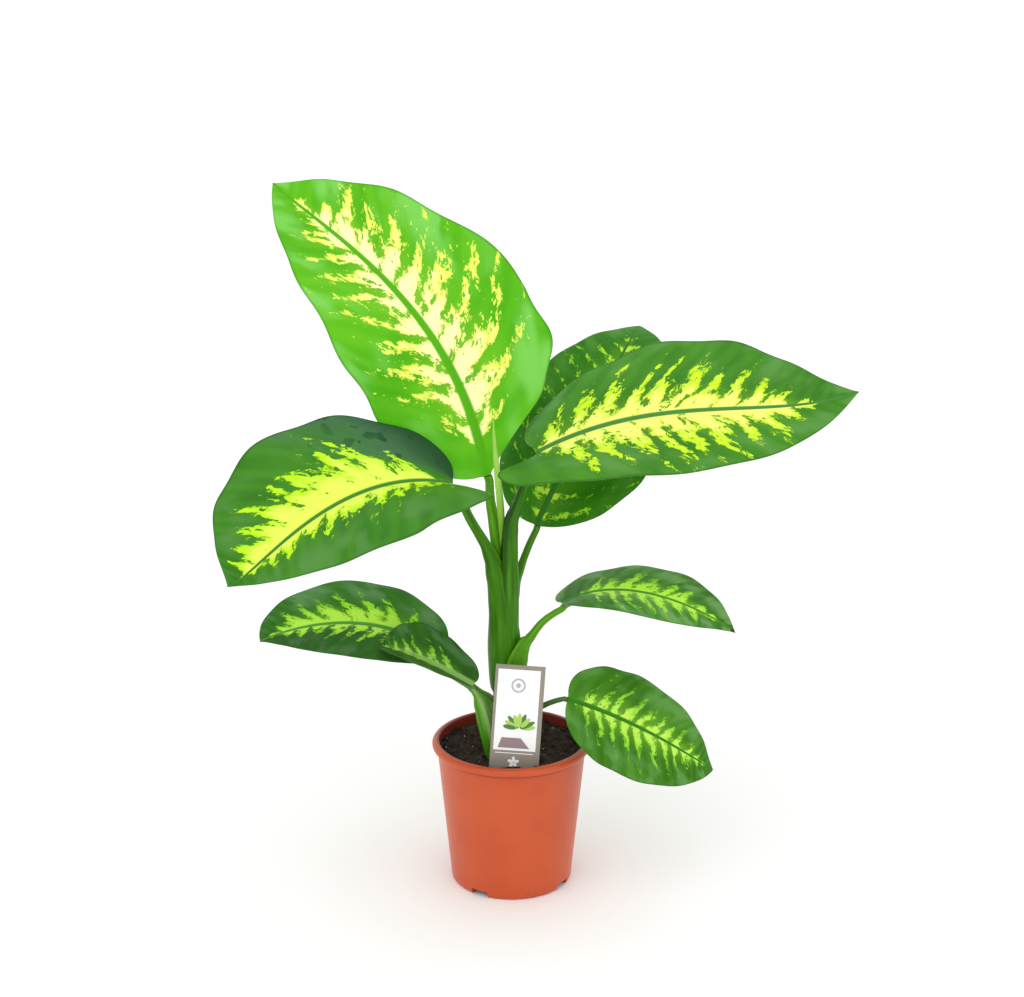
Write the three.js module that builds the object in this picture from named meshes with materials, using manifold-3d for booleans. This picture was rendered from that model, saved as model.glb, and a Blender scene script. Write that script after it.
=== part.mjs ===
// Potted dieffenbachia: eight variegated leaves and one rolled new leaf on a single cane, in a plastic
// nursery pot filled with soil, with a care label pushed into the soil. Millimetres, +Z up. The origin is
// the middle of the pot's underside, and the viewer stands on the -Y side.

import * as THREE from 'three';
import { mergeVertices } from 'three/addons/utils/BufferGeometryUtils.js';
import Module from 'manifold-3d';

const wasm = await Module();
wasm.setup();

const GAP = 0.3;                // clearance between pieces that touch
const DEGREES = Math.PI / 180;

// ---------- driving dimensions ----------

const POT = {
  height: 160,
  rimRadius: 85,                // widest point of the rolled rim
  rimDepth: 12,                 // height of the rolled rim
  rimWall: 7,                   // from the widest point in to the mouth
  bodyTopRadius: 79.6,          // outside, just under the rim
  bodyBaseRadius: 65,           // outside, above the bottom corner
  corner: 5,                    // bottom corner, inward and upward
  wall: 1.8,
  floor: 2.2,
  flareDepth: 14,               // from the top down to where the inner wall narrows to the mouth
  mouthDepth: 3,                // from the top down to the mouth
  sides: 48,
};
const UNDERSIDE = { disc: 30, grooveIn: 34, grooveOut: 52, footIn: 56, lift: 4 };
const DRAIN = { count: 4, first: -122 * DEGREES, width: 19, height: 7, inner: 45 };

const SOIL = { level: 151, dip: 2, bump: 1.6, rings: 7 };    // dip: how much lower it lies at the wall

const LABEL = {
  width: 52,
  card: 122,                    // straight part of the card
  spike: 38,                    // pointed part below it
  thickness: 0.9,
  corner: 1.5,
  top: [10, -34.5, 257],
  leanBack: 12 * DEGREES,
  tilt: 4 * DEGREES,
};

const BLADE_THICKNESS = 1.0;
const VEIN_CROWDING = 1.6;      // above 1, the side veins start closer together near the stalk

// Each leaf: the midrib's four Bezier points from stalk to tip, the roll about the midrib at both ends, the
// fold that lifts both halves from the midrib, and for each half its width, how far its lobe reaches back and
// where it is widest (as shares of the midrib), and how far the half droops towards its margin. curl is how
// high a lobe rises where it reaches back a tenth of the midrib. point is how far before the tip the outline
// draws in, and how wide it is there, as shares. stalk is the stalk's radius at the blade. wave and waves are
// the height and the number of the waves in the margin, rows and columns the blade's grid.
const LEAVES = {
  top: {
    midrib: [[-26, 17, 448], [-56, 88, 616], [-203, 122, 689], [-254, 157, 731]],
    roll: [40, 29], fold: 18, point: [0.09, 0.17], stalk: 4.6, wave: 2.0, waves: 2.5, rows: 18, columns: 5,
    right: { width: 113, lobe: -0.12, belly: 0.3, droop: 13 },
    left: { width: 110, lobe: 0.02, belly: 0.39, droop: 5 },
    color: 0x5fb81e,
  },
  right: {
    midrib: [[28, -15, 483], [151, -69, 566], [254, -76, 528], [345, -56, 557]],
    roll: [-26, -43], fold: 15, point: [0.09, 0.17], stalk: 4.4, wave: 1.5, waves: 2, rows: 18, columns: 5,
    right: { width: 91, lobe: 0.2, belly: 0.32, droop: 20, curl: 28 },
    left: { width: 91, lobe: 0.14, belly: 0.32, droop: 14 },
    color: 0x3f8a35,
  },
  left: {
    midrib: [[-59, -31, 453], [-175, -116, 503], [-245, -169, 398], [-269, -202, 404]],
    roll: [12, 12], fold: 25, point: [0.09, 0.17], stalk: 4.4, wave: 1.5, waves: 2, rows: 18, columns: 5,
    right: { width: 103, lobe: 0.08, belly: 0.36, droop: 6 },
    left: { width: 102, lobe: 0.14, belly: 0.32, droop: 40 },
    color: 0x45923a,
  },
  back: {
    midrib: [[26, 24, 392], [84, 76, 503], [125, 139, 561], [142, 212, 564]],
    roll: [-17, -4], fold: 6, point: [0.09, 0.16], stalk: 3.6, wave: 1.5, waves: 2, rows: 16, columns: 5,
    right: { width: 88, lobe: -0.02, belly: 0.35, droop: 25 },
    left: { width: 87, lobe: 0.01, belly: 0.32, droop: 25 },
    color: 0x357a26,
  },
  mid_right: {
    midrib: [[54, 1, 313], [109, 0, 348], [191, -15, 314], [230, -44, 301]],
    roll: [4, -21], fold: 13, point: [0.09, 0.16], stalk: 3.6, wave: 1.0, waves: 2, rows: 14, columns: 4,
    right: { width: 51, lobe: 0.0, belly: 0.39, droop: 28 },
    left: { width: 51, lobe: 0.14, belly: 0.38, droop: 11 },
    color: 0x3c8530,
  },
  low_left: {
    midrib: [[-78, -12, 261], [-151, 5, 317], [-249, -7, 282], [-260, -43, 287]],
    roll: [26, 25], fold: 15, point: [0.1, 0.16], stalk: 3.4, wave: 1.0, waves: 2, rows: 14, columns: 4,
    right: { width: 56, lobe: 0.04, belly: 0.34, droop: 16 },
    left: { width: 55, lobe: 0.01, belly: 0.34, droop: 14 },
    color: 0x3c8530,
  },
  low_right: {
    midrib: [[59, -41, 222], [137, -47, 199], [196, -43, 152], [214, -34, 138]],
    roll: [-48, -39], fold: 7, point: [0.1, 0.14], stalk: 2.7, wave: 1.0, waves: 2, rows: 14, columns: 4,
    right: { width: 57, lobe: 0.01, belly: 0.35, droop: 24 },
    left: { width: 57, lobe: 0.05, belly: 0.29, droop: 24 },
    color: 0x3a8225,
  },
  front_left: {
    midrib: [[-41, -31, 232], [-98, -38, 273], [-133, -45, 283], [-135, -38, 280]],
    roll: [23, 27], fold: 36, point: [0.12, 0.13], stalk: 3.2, wave: 0.8, waves: 2, rows: 12, columns: 4,
    right: { width: 37, lobe: 0.06, belly: 0.36, droop: 14 },
    left: { width: 36, lobe: 0.06, belly: 0.38, droop: 7 },
    color: 0x2c6a25,
  },
};

// Each stalk: where its sheath and stalk run, bottom to top, as [x, y, z, radius]. The last stretch, up to
// the blade, is added from the leaf. Order is from the middle of the shoot outward: a later, older sheath
// wraps the ones before it.
const STALKS = {
  top: [[-9, 4, 301, 6], [-10, 4, 322, 6.8], [-12, 3, 345, 6.8], [-14, 2, 366, 6.5], [-17.5, 3, 398, 6.2], [-20.5, 7, 415, 5.5],
    [-23, 11, 427, 4.9]],
  right: [[-6, 3, 240, 12], [-5, 2, 262, 11.8], [-3, -1, 300, 11], [-2, -3, 330, 10], [-2, -6, 364, 9.2],
    [-2, -9, 398, 8.6], [1, -12, 412, 7], [6, -13, 426, 5.2], [13, -15, 446, 4.8], [17, -16, 462, 4.6]],
  left: [[-8, 4, 212, 15.5], [-8, 4, 259, 17], [-10, 2, 315, 13.8], [-15, -3, 345, 11.5], [-21, -8, 368, 8],
    [-28, -13, 385, 5.6], [-38, -19, 404, 5], [-48, -25, 425, 4.8]],
  back: [[-3, 11, 244, 11], [-3, 12, 290, 10.5], [0, 13, 318, 8], [6, 13, 338, 5], [14, 16, 360, 3.9],
    [20, 19, 376, 3.7]],
  mid_right: [[2, -2, 196, 12], [4, -6, 230, 11.5], [7, -8, 252, 10], [12, -8, 268, 7.6], [18, -7.5, 275, 5.2],
    [26, -6, 286, 4.2], [36, -4, 299, 3.8]],
  low_left: [[-11, 3, 180, 13], [-17, 1, 194, 11], [-26, -3, 206, 6.5], [-36, -6, 215, 4.4],
    [-48, -9, 228, 3.7], [-62, -12, 244, 3.5]],
  low_right: [[0, -3, 160, 13], [5, -7, 176, 10], [14, -13, 190, 5], [26, -22, 203, 3.2], [40, -31, 213, 2.8]],
  front_left: [[-10, -16, 104, 8], [-16, -25, 140, 9], [-21, -29, 162, 8.6], [-29, -30, 190, 8.2],
    [-35, -31, 212, 6.2], [-39, -31, 223, 4.2]],
};
const STALK_SIDES = 10;

const CANE = {
  path: [[-6, 5, 66, 13], [-6, 5, 150, 14], [-7, 4, 215, 12.5], [-8, 4, 262, 8.5], [-9, 4, 300, 4]],
  sides: 14,
  steps: 22,
  nodes: [158, 178, 198],
  ringRise: 1.2,
  ringSpread: 3,
};

// The rolled new leaf rises from the middle of the shoot.
const NEW_LEAF = [[-9, 3, 338.5, 2.6], [-9, 0, 370, 3.2], [-10, -5, 400, 3.8], [-11.5, -8, 424, 4.1],
  [-13.5, -8, 448, 3.7], [-15.5, -6, 469, 3.1], [-17.5, -2, 489, 2.2], [-18.5, 3, 512, 0.8]];

const COLORS = {
  pot: 0xc65b3d,
  soil: 0x2b211c,
  label: 0x948b7d,
  cane: 0x5c8a2c,
  stalk: 0x4b8a1c,
  new_leaf: 0xbfdc6a,
};

// ---------- helpers ----------

const vector = (point) => new THREE.Vector3(point[0], point[1], point[2]);
const mix = THREE.MathUtils.lerp;
const clamp = THREE.MathUtils.clamp;

// Position and slope on a cubic Bezier, also a little before its start.
function bezier(points, t) {
  const s = 1 - t;
  const at = (k) => s * s * s * points[0][k] + 3 * s * s * t * points[1][k]
    + 3 * s * t * t * points[2][k] + t * t * t * points[3][k];
  return points[0].map((_, k) => at(k));
}

function bezierSlope(points, t) {
  const s = 1 - t;
  const at = (k) => 3 * s * s * (points[1][k] - points[0][k]) + 6 * s * t * (points[2][k] - points[1][k])
    + 3 * t * t * (points[3][k] - points[2][k]);
  return points[0].map((_, k) => at(k));
}

function closedGeometry(positions, indices) {
  const geometry = new THREE.BufferGeometry();
  geometry.setAttribute('position', new THREE.Float32BufferAttribute(positions, 3));
  geometry.setIndex(indices);
  return geometry;
}

// Skins rings of equal point count and closes both ends with a fan round the ring's middle.
function loft(rings) {
  const positions = [];
  const indices = [];
  const sides = rings[0].length;
  rings.forEach((ring) => ring.forEach((p) => positions.push(p.x, p.y, p.z)));
  for (let i = 0; i < rings.length - 1; i += 1) {
    for (let j = 0; j < sides; j += 1) {
      const a = i * sides + j;
      const b = i * sides + ((j + 1) % sides);
      indices.push(a, b, b + sides, a, b + sides, a + sides);
    }
  }
  const closeEnd = (ring, first, flip) => {
    const middle = ring.reduce((sum, p) => sum.add(p), new THREE.Vector3()).divideScalar(sides);
    const centre = positions.length / 3;
    positions.push(middle.x, middle.y, middle.z);
    for (let j = 0; j < sides; j += 1) {
      const a = first + j;
      const b = first + ((j + 1) % sides);
      indices.push(...(flip ? [centre, b, a] : [centre, a, b]));
    }
  };
  closeEnd(rings[0], 0, true);
  closeEnd(rings[rings.length - 1], (rings.length - 1) * sides, false);
  return closedGeometry(positions, indices);
}

// A round tube through [x, y, z, radius] points, its rings carried along without twist. endFrame, if given,
// sets the last ring's own sideways and upward directions.
function tube(points, { sides, steps, grow = 0, endFrame = null, swell = () => 0 }) {
  const curve = new THREE.CatmullRomCurve3(points.map(vector), false, 'centripetal');
  const radii = points.map((p) => p[3]);
  const rings = [];
  let side = new THREE.Vector3(1, 0, 0);
  for (let i = 0; i <= steps; i += 1) {
    const t = i / steps;
    const centre = curve.getPoint(t);
    const along = curve.getTangent(t);
    const place = t * (points.length - 1);
    const low = Math.min(Math.floor(place), points.length - 2);
    const radius = mix(radii[low], radii[low + 1], THREE.MathUtils.smoothstep(place - low, 0, 1))
      + grow + swell(centre);
    side = side.clone().addScaledVector(along, -side.dot(along)).normalize();
    let up = new THREE.Vector3().crossVectors(along, side);
    if (i === steps && endFrame) {
      side = endFrame.side;
      up = new THREE.Vector3().crossVectors(endFrame.along, side);
    }
    rings.push(Array.from({ length: sides }, (_, j) => {
      const angle = (2 * Math.PI * j) / sides;
      return centre.clone().addScaledVector(side, radius * Math.cos(angle))
        .addScaledVector(up, radius * Math.sin(angle));
    }));
  }
  return loft(rings);
}

// Merged corners, and no triangle that has lost its area at a lathe's axis.
function toSolid(geometry) {
  const bare = geometry.clone();
  bare.deleteAttribute('normal');
  bare.deleteAttribute('uv');
  const merged = mergeVertices(bare, 1e-4);
  const corners = merged.index.array;
  const kept = [];
  for (let i = 0; i < corners.length; i += 3) {
    const [a, b, c] = [corners[i], corners[i + 1], corners[i + 2]];
    if (a !== b && b !== c && c !== a) kept.push(a, b, c);
  }
  return new wasm.Manifold(new wasm.Mesh({
    numProp: 3,
    vertProperties: new Float32Array(merged.attributes.position.array),
    triVerts: new Uint32Array(kept),
  }));
}

function toGeometry(solid) {
  const mesh = solid.getMesh();
  return closedGeometry(Array.from(mesh.vertProperties), Array.from(mesh.triVerts));
}

// The biggest of a solid's separate bodies, so that a cut leaves no loose sliver.
function biggestBody(solid) {
  const bodies = solid.decompose();
  return bodies.reduce((best, body) => (body.volume() > best.volume() ? body : best));
}

// ---------- leaf blades ----------

// Sideways and upward directions of the blade at midrib share t.
function bladeFrame(leaf, t) {
  const along = vector(bezierSlope(leaf.midrib, t)).normalize();
  const level = new THREE.Vector3().crossVectors(along, new THREE.Vector3(0, 0, 1)).normalize();
  const above = new THREE.Vector3().crossVectors(level, along);
  const roll = mix(leaf.roll[0], leaf.roll[1], clamp(t, 0, 1)) * DEGREES;
  const side = level.clone().multiplyScalar(Math.cos(roll)).addScaledVector(above, Math.sin(roll));
  const up = above.clone().multiplyScalar(Math.cos(roll)).addScaledVector(level, -Math.sin(roll));
  return { along, side, up };
}

// The flat outline of one half: midrib share and distance from the midrib, for r from stalk (0) to tip (1).
function halfOutline(leaf, half, r) {
  const { width, lobe, belly } = half;
  const [point, pointWidth] = leaf.point;
  const rear = [[0, leaf.stalk], [-lobe, 0.58 * width], [0.35 * belly, width], [belly, width]];
  const front = [[belly, width], [mix(belly, 1, 0.5), width], [1 - point, pointWidth * width], [1, 0]];
  return r < 0.5 ? bezier(rear, 2 * r) : bezier(front, 2 * r - 1);
}

// How far out a column of the blade's grid lies: the first two follow the rib, and the rest spread out evenly.
function columnShare(leaf, column, ribSpan) {
  const beside = [0, 0.6 * ribSpan, 1.15 * ribSpan];
  return column < 3 ? beside[column] : mix(beside[2], 1, (column - 2) / (leaf.columns - 2));
}

// A point of the blade: r runs from stalk to tip, column from the midrib (0) to the margin, sign picks the
// half (+1 right, -1 left), and under is true for the lower face, which bulges along the rib.
function bladePoint(leaf, r, column, sign, under) {
  const half = sign > 0 ? leaf.right : leaf.left;
  const [marginShare, marginWidth] = halfOutline(leaf, half, r);
  const ribShare = r ** VEIN_CROWDING;
  const ribWidth = leaf.stalk * (1 - 0.8 * ribShare);
  const share = columnShare(leaf, column, Math.min(ribWidth / Math.max(marginWidth, 1e-6), 0.6));
  const b = share * marginWidth;
  const t = mix(ribShare, marginShare, share);
  const { side, up } = bladeFrame(leaf, t);
  const fold = leaf.fold * DEGREES;
  const bend = (half.droop * DEGREES) / half.width;
  const out = (Math.sin(fold) - Math.sin(fold - bend * b)) / bend;
  const rise = (Math.cos(fold - bend * b) - Math.cos(fold)) / bend;
  const curl = (half.curl ?? 0) * (Math.min(t, 0) / 0.1) ** 2;
  const wave = leaf.wave * share * share * Math.sin(Math.PI * r) * Math.sin(2 * Math.PI * leaf.waves * r + sign);
  const ribDepth = (2 * leaf.stalk - BLADE_THICKNESS) * (1 - 0.93 * ribShare) ** 1.5;
  const depth = under ? BLADE_THICKNESS + ribDepth * Math.sqrt(Math.max(0, 1 - (b / ribWidth) ** 2)) : 0;
  return vector(bezier(leaf.midrib, t)).addScaledVector(side, sign * out)
    .addScaledVector(up, rise + curl + wave - depth);
}

function bladeGeometry(leaf) {
  const { rows, columns } = leaf;
  const positions = [];
  const indices = [];
  const known = new Map();
  // the last row shrinks to the tip, where all columns share one corner on each face
  const vertex = (row, column, under) => {
    const place = row === rows ? 0 : column;
    const key = `${row}:${place}:${under}`;
    if (!known.has(key)) {
      const p = bladePoint(leaf, row / rows, Math.abs(place), place < 0 ? -1 : 1, under);
      known.set(key, positions.length / 3);
      positions.push(p.x, p.y, p.z);
    }
    return known.get(key);
  };
  const triangle = (a, b, c) => {
    if (a !== b && b !== c && c !== a) indices.push(a, b, c);
  };
  for (let row = 0; row < rows; row += 1) {
    for (let column = -columns; column < columns; column += 1) {
      for (const under of [false, true]) {
        const a = vertex(row, column, under);
        const b = vertex(row, column + 1, under);
        const c = vertex(row + 1, column + 1, under);
        const d = vertex(row + 1, column, under);
        // the two faces are split alike, along the diagonal that leans outward to the tip
        const faces = column < 0 ? [[b, c, d], [b, d, a]] : [[a, b, c], [a, c, d]];
        faces.forEach((face) => triangle(...(under ? face.reverse() : face)));
      }
    }
  }
  const wall = (start, end) => {
    const [a, b] = [vertex(...start, false), vertex(...end, false)];
    const [c, d] = [vertex(...end, true), vertex(...start, true)];
    triangle(a, b, c);
    triangle(a, c, d);
  };
  for (let row = 0; row < rows; row += 1) {
    wall([row + 1, columns], [row, columns]);
    wall([row, -columns], [row + 1, -columns]);
  }
  for (let column = columns; column > -columns; column -= 1) wall([0, column], [0, column - 1]);
  return closedGeometry(positions, indices);
}

// ---------- stalks, cane and new leaf ----------

// The stalk's top meets the blade's base face, just behind it and under the blade.
function stalkRoute(name) {
  const leaf = LEAVES[name];
  const { along, up } = bladeFrame(leaf, 0);
  const end = vector(leaf.midrib[0]).addScaledVector(up, -leaf.stalk).addScaledVector(along, -GAP);
  const before = end.clone().addScaledVector(along, -2.2 * leaf.stalk).addScaledVector(up, -0.6 * leaf.stalk);
  return [...STALKS[name], [before.x, before.y, before.z, leaf.stalk], [end.x, end.y, end.z, leaf.stalk]];
}

function stalkTube(name, grow) {
  const points = stalkRoute(name);
  const steps = 2 * (points.length - 1);
  return tube(points, { sides: STALK_SIDES, steps, grow, endFrame: bladeFrame(LEAVES[name], 0) });
}

const ringSwell = (centre) => CANE.nodes.reduce(
  (rise, z) => rise + CANE.ringRise * Math.exp(-(((centre.z - z) / CANE.ringSpread) ** 2)), 0);
const caneTube = (grow) => tube(CANE.path, { sides: CANE.sides, steps: CANE.steps, grow, swell: ringSwell });
const newLeafTube = (grow) => tube(NEW_LEAF, { sides: 10, steps: 16, grow });

// Every later sheath is hollowed out for the cane, the new leaf and the younger sheaths inside it.
function shootSolids() {
  const solids = { cane: toSolid(caneTube(0)), new_leaf: toSolid(newLeafTube(0)) };
  const inner = [toSolid(caneTube(GAP)), toSolid(newLeafTube(GAP))];
  for (const name of Object.keys(STALKS)) {
    const cut = inner.reduce((solid, tool) => solid.subtract(tool), toSolid(stalkTube(name, 0)));
    solids[`stalk_${name}`] = biggestBody(cut);
    inner.push(toSolid(stalkTube(name, GAP)));
  }
  return solids;
}

// ---------- pot, soil and label ----------

function potOuter() {
  const { height, rimRadius, rimDepth, bodyTopRadius, bodyBaseRadius, corner } = POT;
  const { disc, grooveIn, grooveOut, footIn, lift } = UNDERSIDE;
  return [[0, 0], [disc, 0], [grooveIn, lift], [grooveOut, lift], [footIn, 0], [bodyBaseRadius - corner, 0],
    [bodyBaseRadius - 0.3 * corner, 0.3 * corner], [bodyBaseRadius, corner],
    [bodyTopRadius, height - rimDepth - 1], [rimRadius - 2, height - rimDepth],
    [rimRadius - 0.5, height - rimDepth + 2], [rimRadius, height - 0.4 * rimDepth],
    [rimRadius - 0.7, height - 1.6], [rimRadius - 2, height - 0.4], [rimRadius - 3.5, height]];
}

// The inside, from the middle of the floor out and up, moved in by offset.
function potInner(offset) {
  const { height, rimRadius, rimWall, bodyTopRadius, bodyBaseRadius, corner, wall, floor } = POT;
  const { flareDepth, mouthDepth } = POT;
  const { disc, grooveIn, grooveOut, footIn, lift } = UNDERSIDE;
  const up = floor + offset;
  const inward = wall + offset;
  return [[0, up], [disc, up], [grooveIn - 1, lift + up], [grooveOut + 1, lift + up], [footIn + 0.6, up],
    [bodyBaseRadius - corner - inward + 2, up], [bodyBaseRadius - inward, corner + up],
    [bodyTopRadius - inward, height - flareDepth], [rimRadius - rimWall - offset, height - mouthDepth]];
}

function turned(profile) {
  const geometry = new THREE.LatheGeometry(profile.map(([r, z]) => new THREE.Vector2(r, z)), POT.sides);
  return geometry.rotateX(Math.PI / 2);
}

function potGeometry() {
  const { height, rimRadius, rimWall } = POT;
  const mouth = [rimRadius - rimWall + 1, height - 0.6];
  let solid = toSolid(turned([...potOuter(), mouth, ...potInner(0).reverse()]));
  const length = rimRadius - DRAIN.inner;
  for (let i = 0; i < DRAIN.count; i += 1) {
    const slot = new THREE.BoxGeometry(length, DRAIN.width, 2 * DRAIN.height);
    slot.translate(DRAIN.inner + length / 2, 0, 0);
    slot.rotateZ(DRAIN.first + (i * 2 * Math.PI) / DRAIN.count);
    solid = solid.subtract(toSolid(slot));
  }
  return toGeometry(solid);
}

// Height of the lumps in the soil: a sum of a few waves.
function soilRise(x, y) {
  return SOIL.bump * (Math.sin(0.11 * x + 0.9) * Math.cos(0.13 * y) + 0.6 * Math.sin(0.23 * x + 0.19 * y)
    + 0.5 * Math.cos(0.31 * x - 0.27 * y + 1.3));
}

function soilGeometry(holes) {
  const inside = potInner(GAP);
  const rimHeight = SOIL.level - SOIL.dip;
  const above = inside.findIndex(([, z]) => z > rimHeight);
  const [[lowRadius, low], [highRadius, high]] = [inside[above - 1], inside[above]];
  const edge = mix(lowRadius, highRadius, (rimHeight - low) / (high - low));
  const surface = Array.from({ length: SOIL.rings }, (_, i) => [edge * (1 - (i + 1) / SOIL.rings), SOIL.level]);
  const geometry = turned([...inside.slice(0, above), [edge, rimHeight], ...surface]);
  const position = geometry.attributes.position;
  for (let i = 0; i < position.count; i += 1) {
    if (position.getZ(i) > SOIL.level - 0.5 * SOIL.dip) {
      position.setZ(i, SOIL.level + soilRise(position.getX(i), position.getY(i)));
    }
  }
  return toGeometry(biggestBody(holes.reduce((solid, hole) => solid.subtract(hole), toSolid(geometry))));
}

// The card with its pointed lower end, grown on all sides for the slit that it makes in the soil.
function labelGeometry(grow) {
  const { width, card, spike, thickness, corner } = LABEL;
  const half = width / 2 + grow;
  const point = 2 + grow;
  const shape = new THREE.Shape();
  shape.moveTo(half - corner, grow);
  shape.quadraticCurveTo(half, grow, half, grow - corner);
  shape.lineTo(half, -card);
  shape.lineTo(point, -card - spike - grow);
  shape.lineTo(-point, -card - spike - grow);
  shape.lineTo(-half, -card);
  shape.lineTo(-half, grow - corner);
  shape.quadraticCurveTo(-half, grow, corner - half, grow);
  const depth = thickness + 2 * grow;
  const geometry = new THREE.ExtrudeGeometry(shape, { depth, bevelEnabled: false, curveSegments: 3 });
  return geometry.translate(0, 0, -depth / 2).rotateX(Math.PI / 2);
}

function placeLabel(object) {
  object.position.set(...LABEL.top);
  object.rotation.set(-LABEL.leanBack, LABEL.tilt, 0);
  object.updateMatrix();
  return object;
}

// ---------- assembly ----------

const plant = new THREE.Group();

function addMesh(name, geometry, color, roughness) {
  const mesh = new THREE.Mesh(geometry, new THREE.MeshStandardMaterial({ color, roughness, metalness: 0 }));
  mesh.name = name;
  plant.add(mesh);
  return mesh;
}

const slit = placeLabel(new THREE.Mesh(labelGeometry(GAP)));
const soilHoles = [caneTube(GAP), stalkTube('front_left', GAP), slit.geometry.applyMatrix4(slit.matrix)];

addMesh('pot', potGeometry(), COLORS.pot, 0.4);
addMesh('soil', soilGeometry(soilHoles.map(toSolid)), COLORS.soil, 1);
placeLabel(addMesh('label', labelGeometry(0), COLORS.label, 0.5));
for (const [name, solid] of Object.entries(shootSolids())) {
  addMesh(name, toGeometry(solid), COLORS[name] ?? COLORS.stalk, 0.45);
}
for (const [name, leaf] of Object.entries(LEAVES)) {
  addMesh(`blade_${name}`, bladeGeometry(leaf), leaf.color, 0.4);
}

export default plant;
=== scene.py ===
# The looks of the potted dieffenbachia. Metres, +Z up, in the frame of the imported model: the origin is the
# middle of the pot's underside, and the viewer stands on the -Y side.
import math
import random

import bmesh
import bpy
from mathutils import Matrix, Vector, noise


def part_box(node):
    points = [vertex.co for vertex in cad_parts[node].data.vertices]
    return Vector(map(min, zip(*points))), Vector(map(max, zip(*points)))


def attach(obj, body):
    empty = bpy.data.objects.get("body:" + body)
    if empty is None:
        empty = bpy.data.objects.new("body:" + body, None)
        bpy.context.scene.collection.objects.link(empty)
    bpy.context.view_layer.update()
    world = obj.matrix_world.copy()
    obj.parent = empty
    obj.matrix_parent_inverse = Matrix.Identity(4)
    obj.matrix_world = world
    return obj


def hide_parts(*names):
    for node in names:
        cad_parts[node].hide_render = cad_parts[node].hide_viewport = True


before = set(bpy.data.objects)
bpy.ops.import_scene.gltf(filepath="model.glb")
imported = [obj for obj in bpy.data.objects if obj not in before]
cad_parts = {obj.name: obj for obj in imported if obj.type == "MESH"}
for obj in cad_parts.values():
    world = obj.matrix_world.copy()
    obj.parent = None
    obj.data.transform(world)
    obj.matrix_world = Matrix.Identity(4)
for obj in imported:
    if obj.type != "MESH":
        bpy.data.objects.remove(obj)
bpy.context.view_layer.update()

# ---------- driving dimensions ----------

LEAF_THICKNESS = 0.0007
VEIN_CROWDING = 1.6              # above 1, the side veins start closer together near the stalk
VEIN_LEAN = 0.22                 # how far the first side vein runs towards the tip for each step outward
VEIN_LEAN_GROWTH = 0.95          # how much more the last one does
VEIN_CURVE = 0.20                # how much more it bends to the tip at the margin, as a share of the width
RIB_TAPER = 0.8                  # how much narrower the midrib is at the tip
RIB_DEPTH_TAPER = 0.93           # how much less it stands out underneath there
RIB_GROOVE = 0.0006              # depth of the furrow above it
RIB_GROOVE_TAPER = 0.6           # how much shallower that is at the tip
RIB_GROOVE_FALL = 2.2            # how fast its depth falls off from the middle of the midrib
LOBE_BREADTH = 0.58              # how far out the margin swings behind, as a share of the half's width
SHOULDER = 0.35                  # where it straightens, as a share of the way to the widest place
RIPPLES = 6                      # small waves along each margin, besides the large ones
RIPPLE_CROWDING = 1.2            # above 1, they are closer together near the tip
RIPPLE_HEIGHT = 0.55             # as a share of the large waves' height
RIPPLE_BREADTH = 15              # how much they move the margin sideways
LEAF_ROWS = 96
LEAF_COLUMNS = 30                # in each half
COLUMN_CROWDING = 1.25           # above 1, the columns are closer together near the midrib

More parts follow.
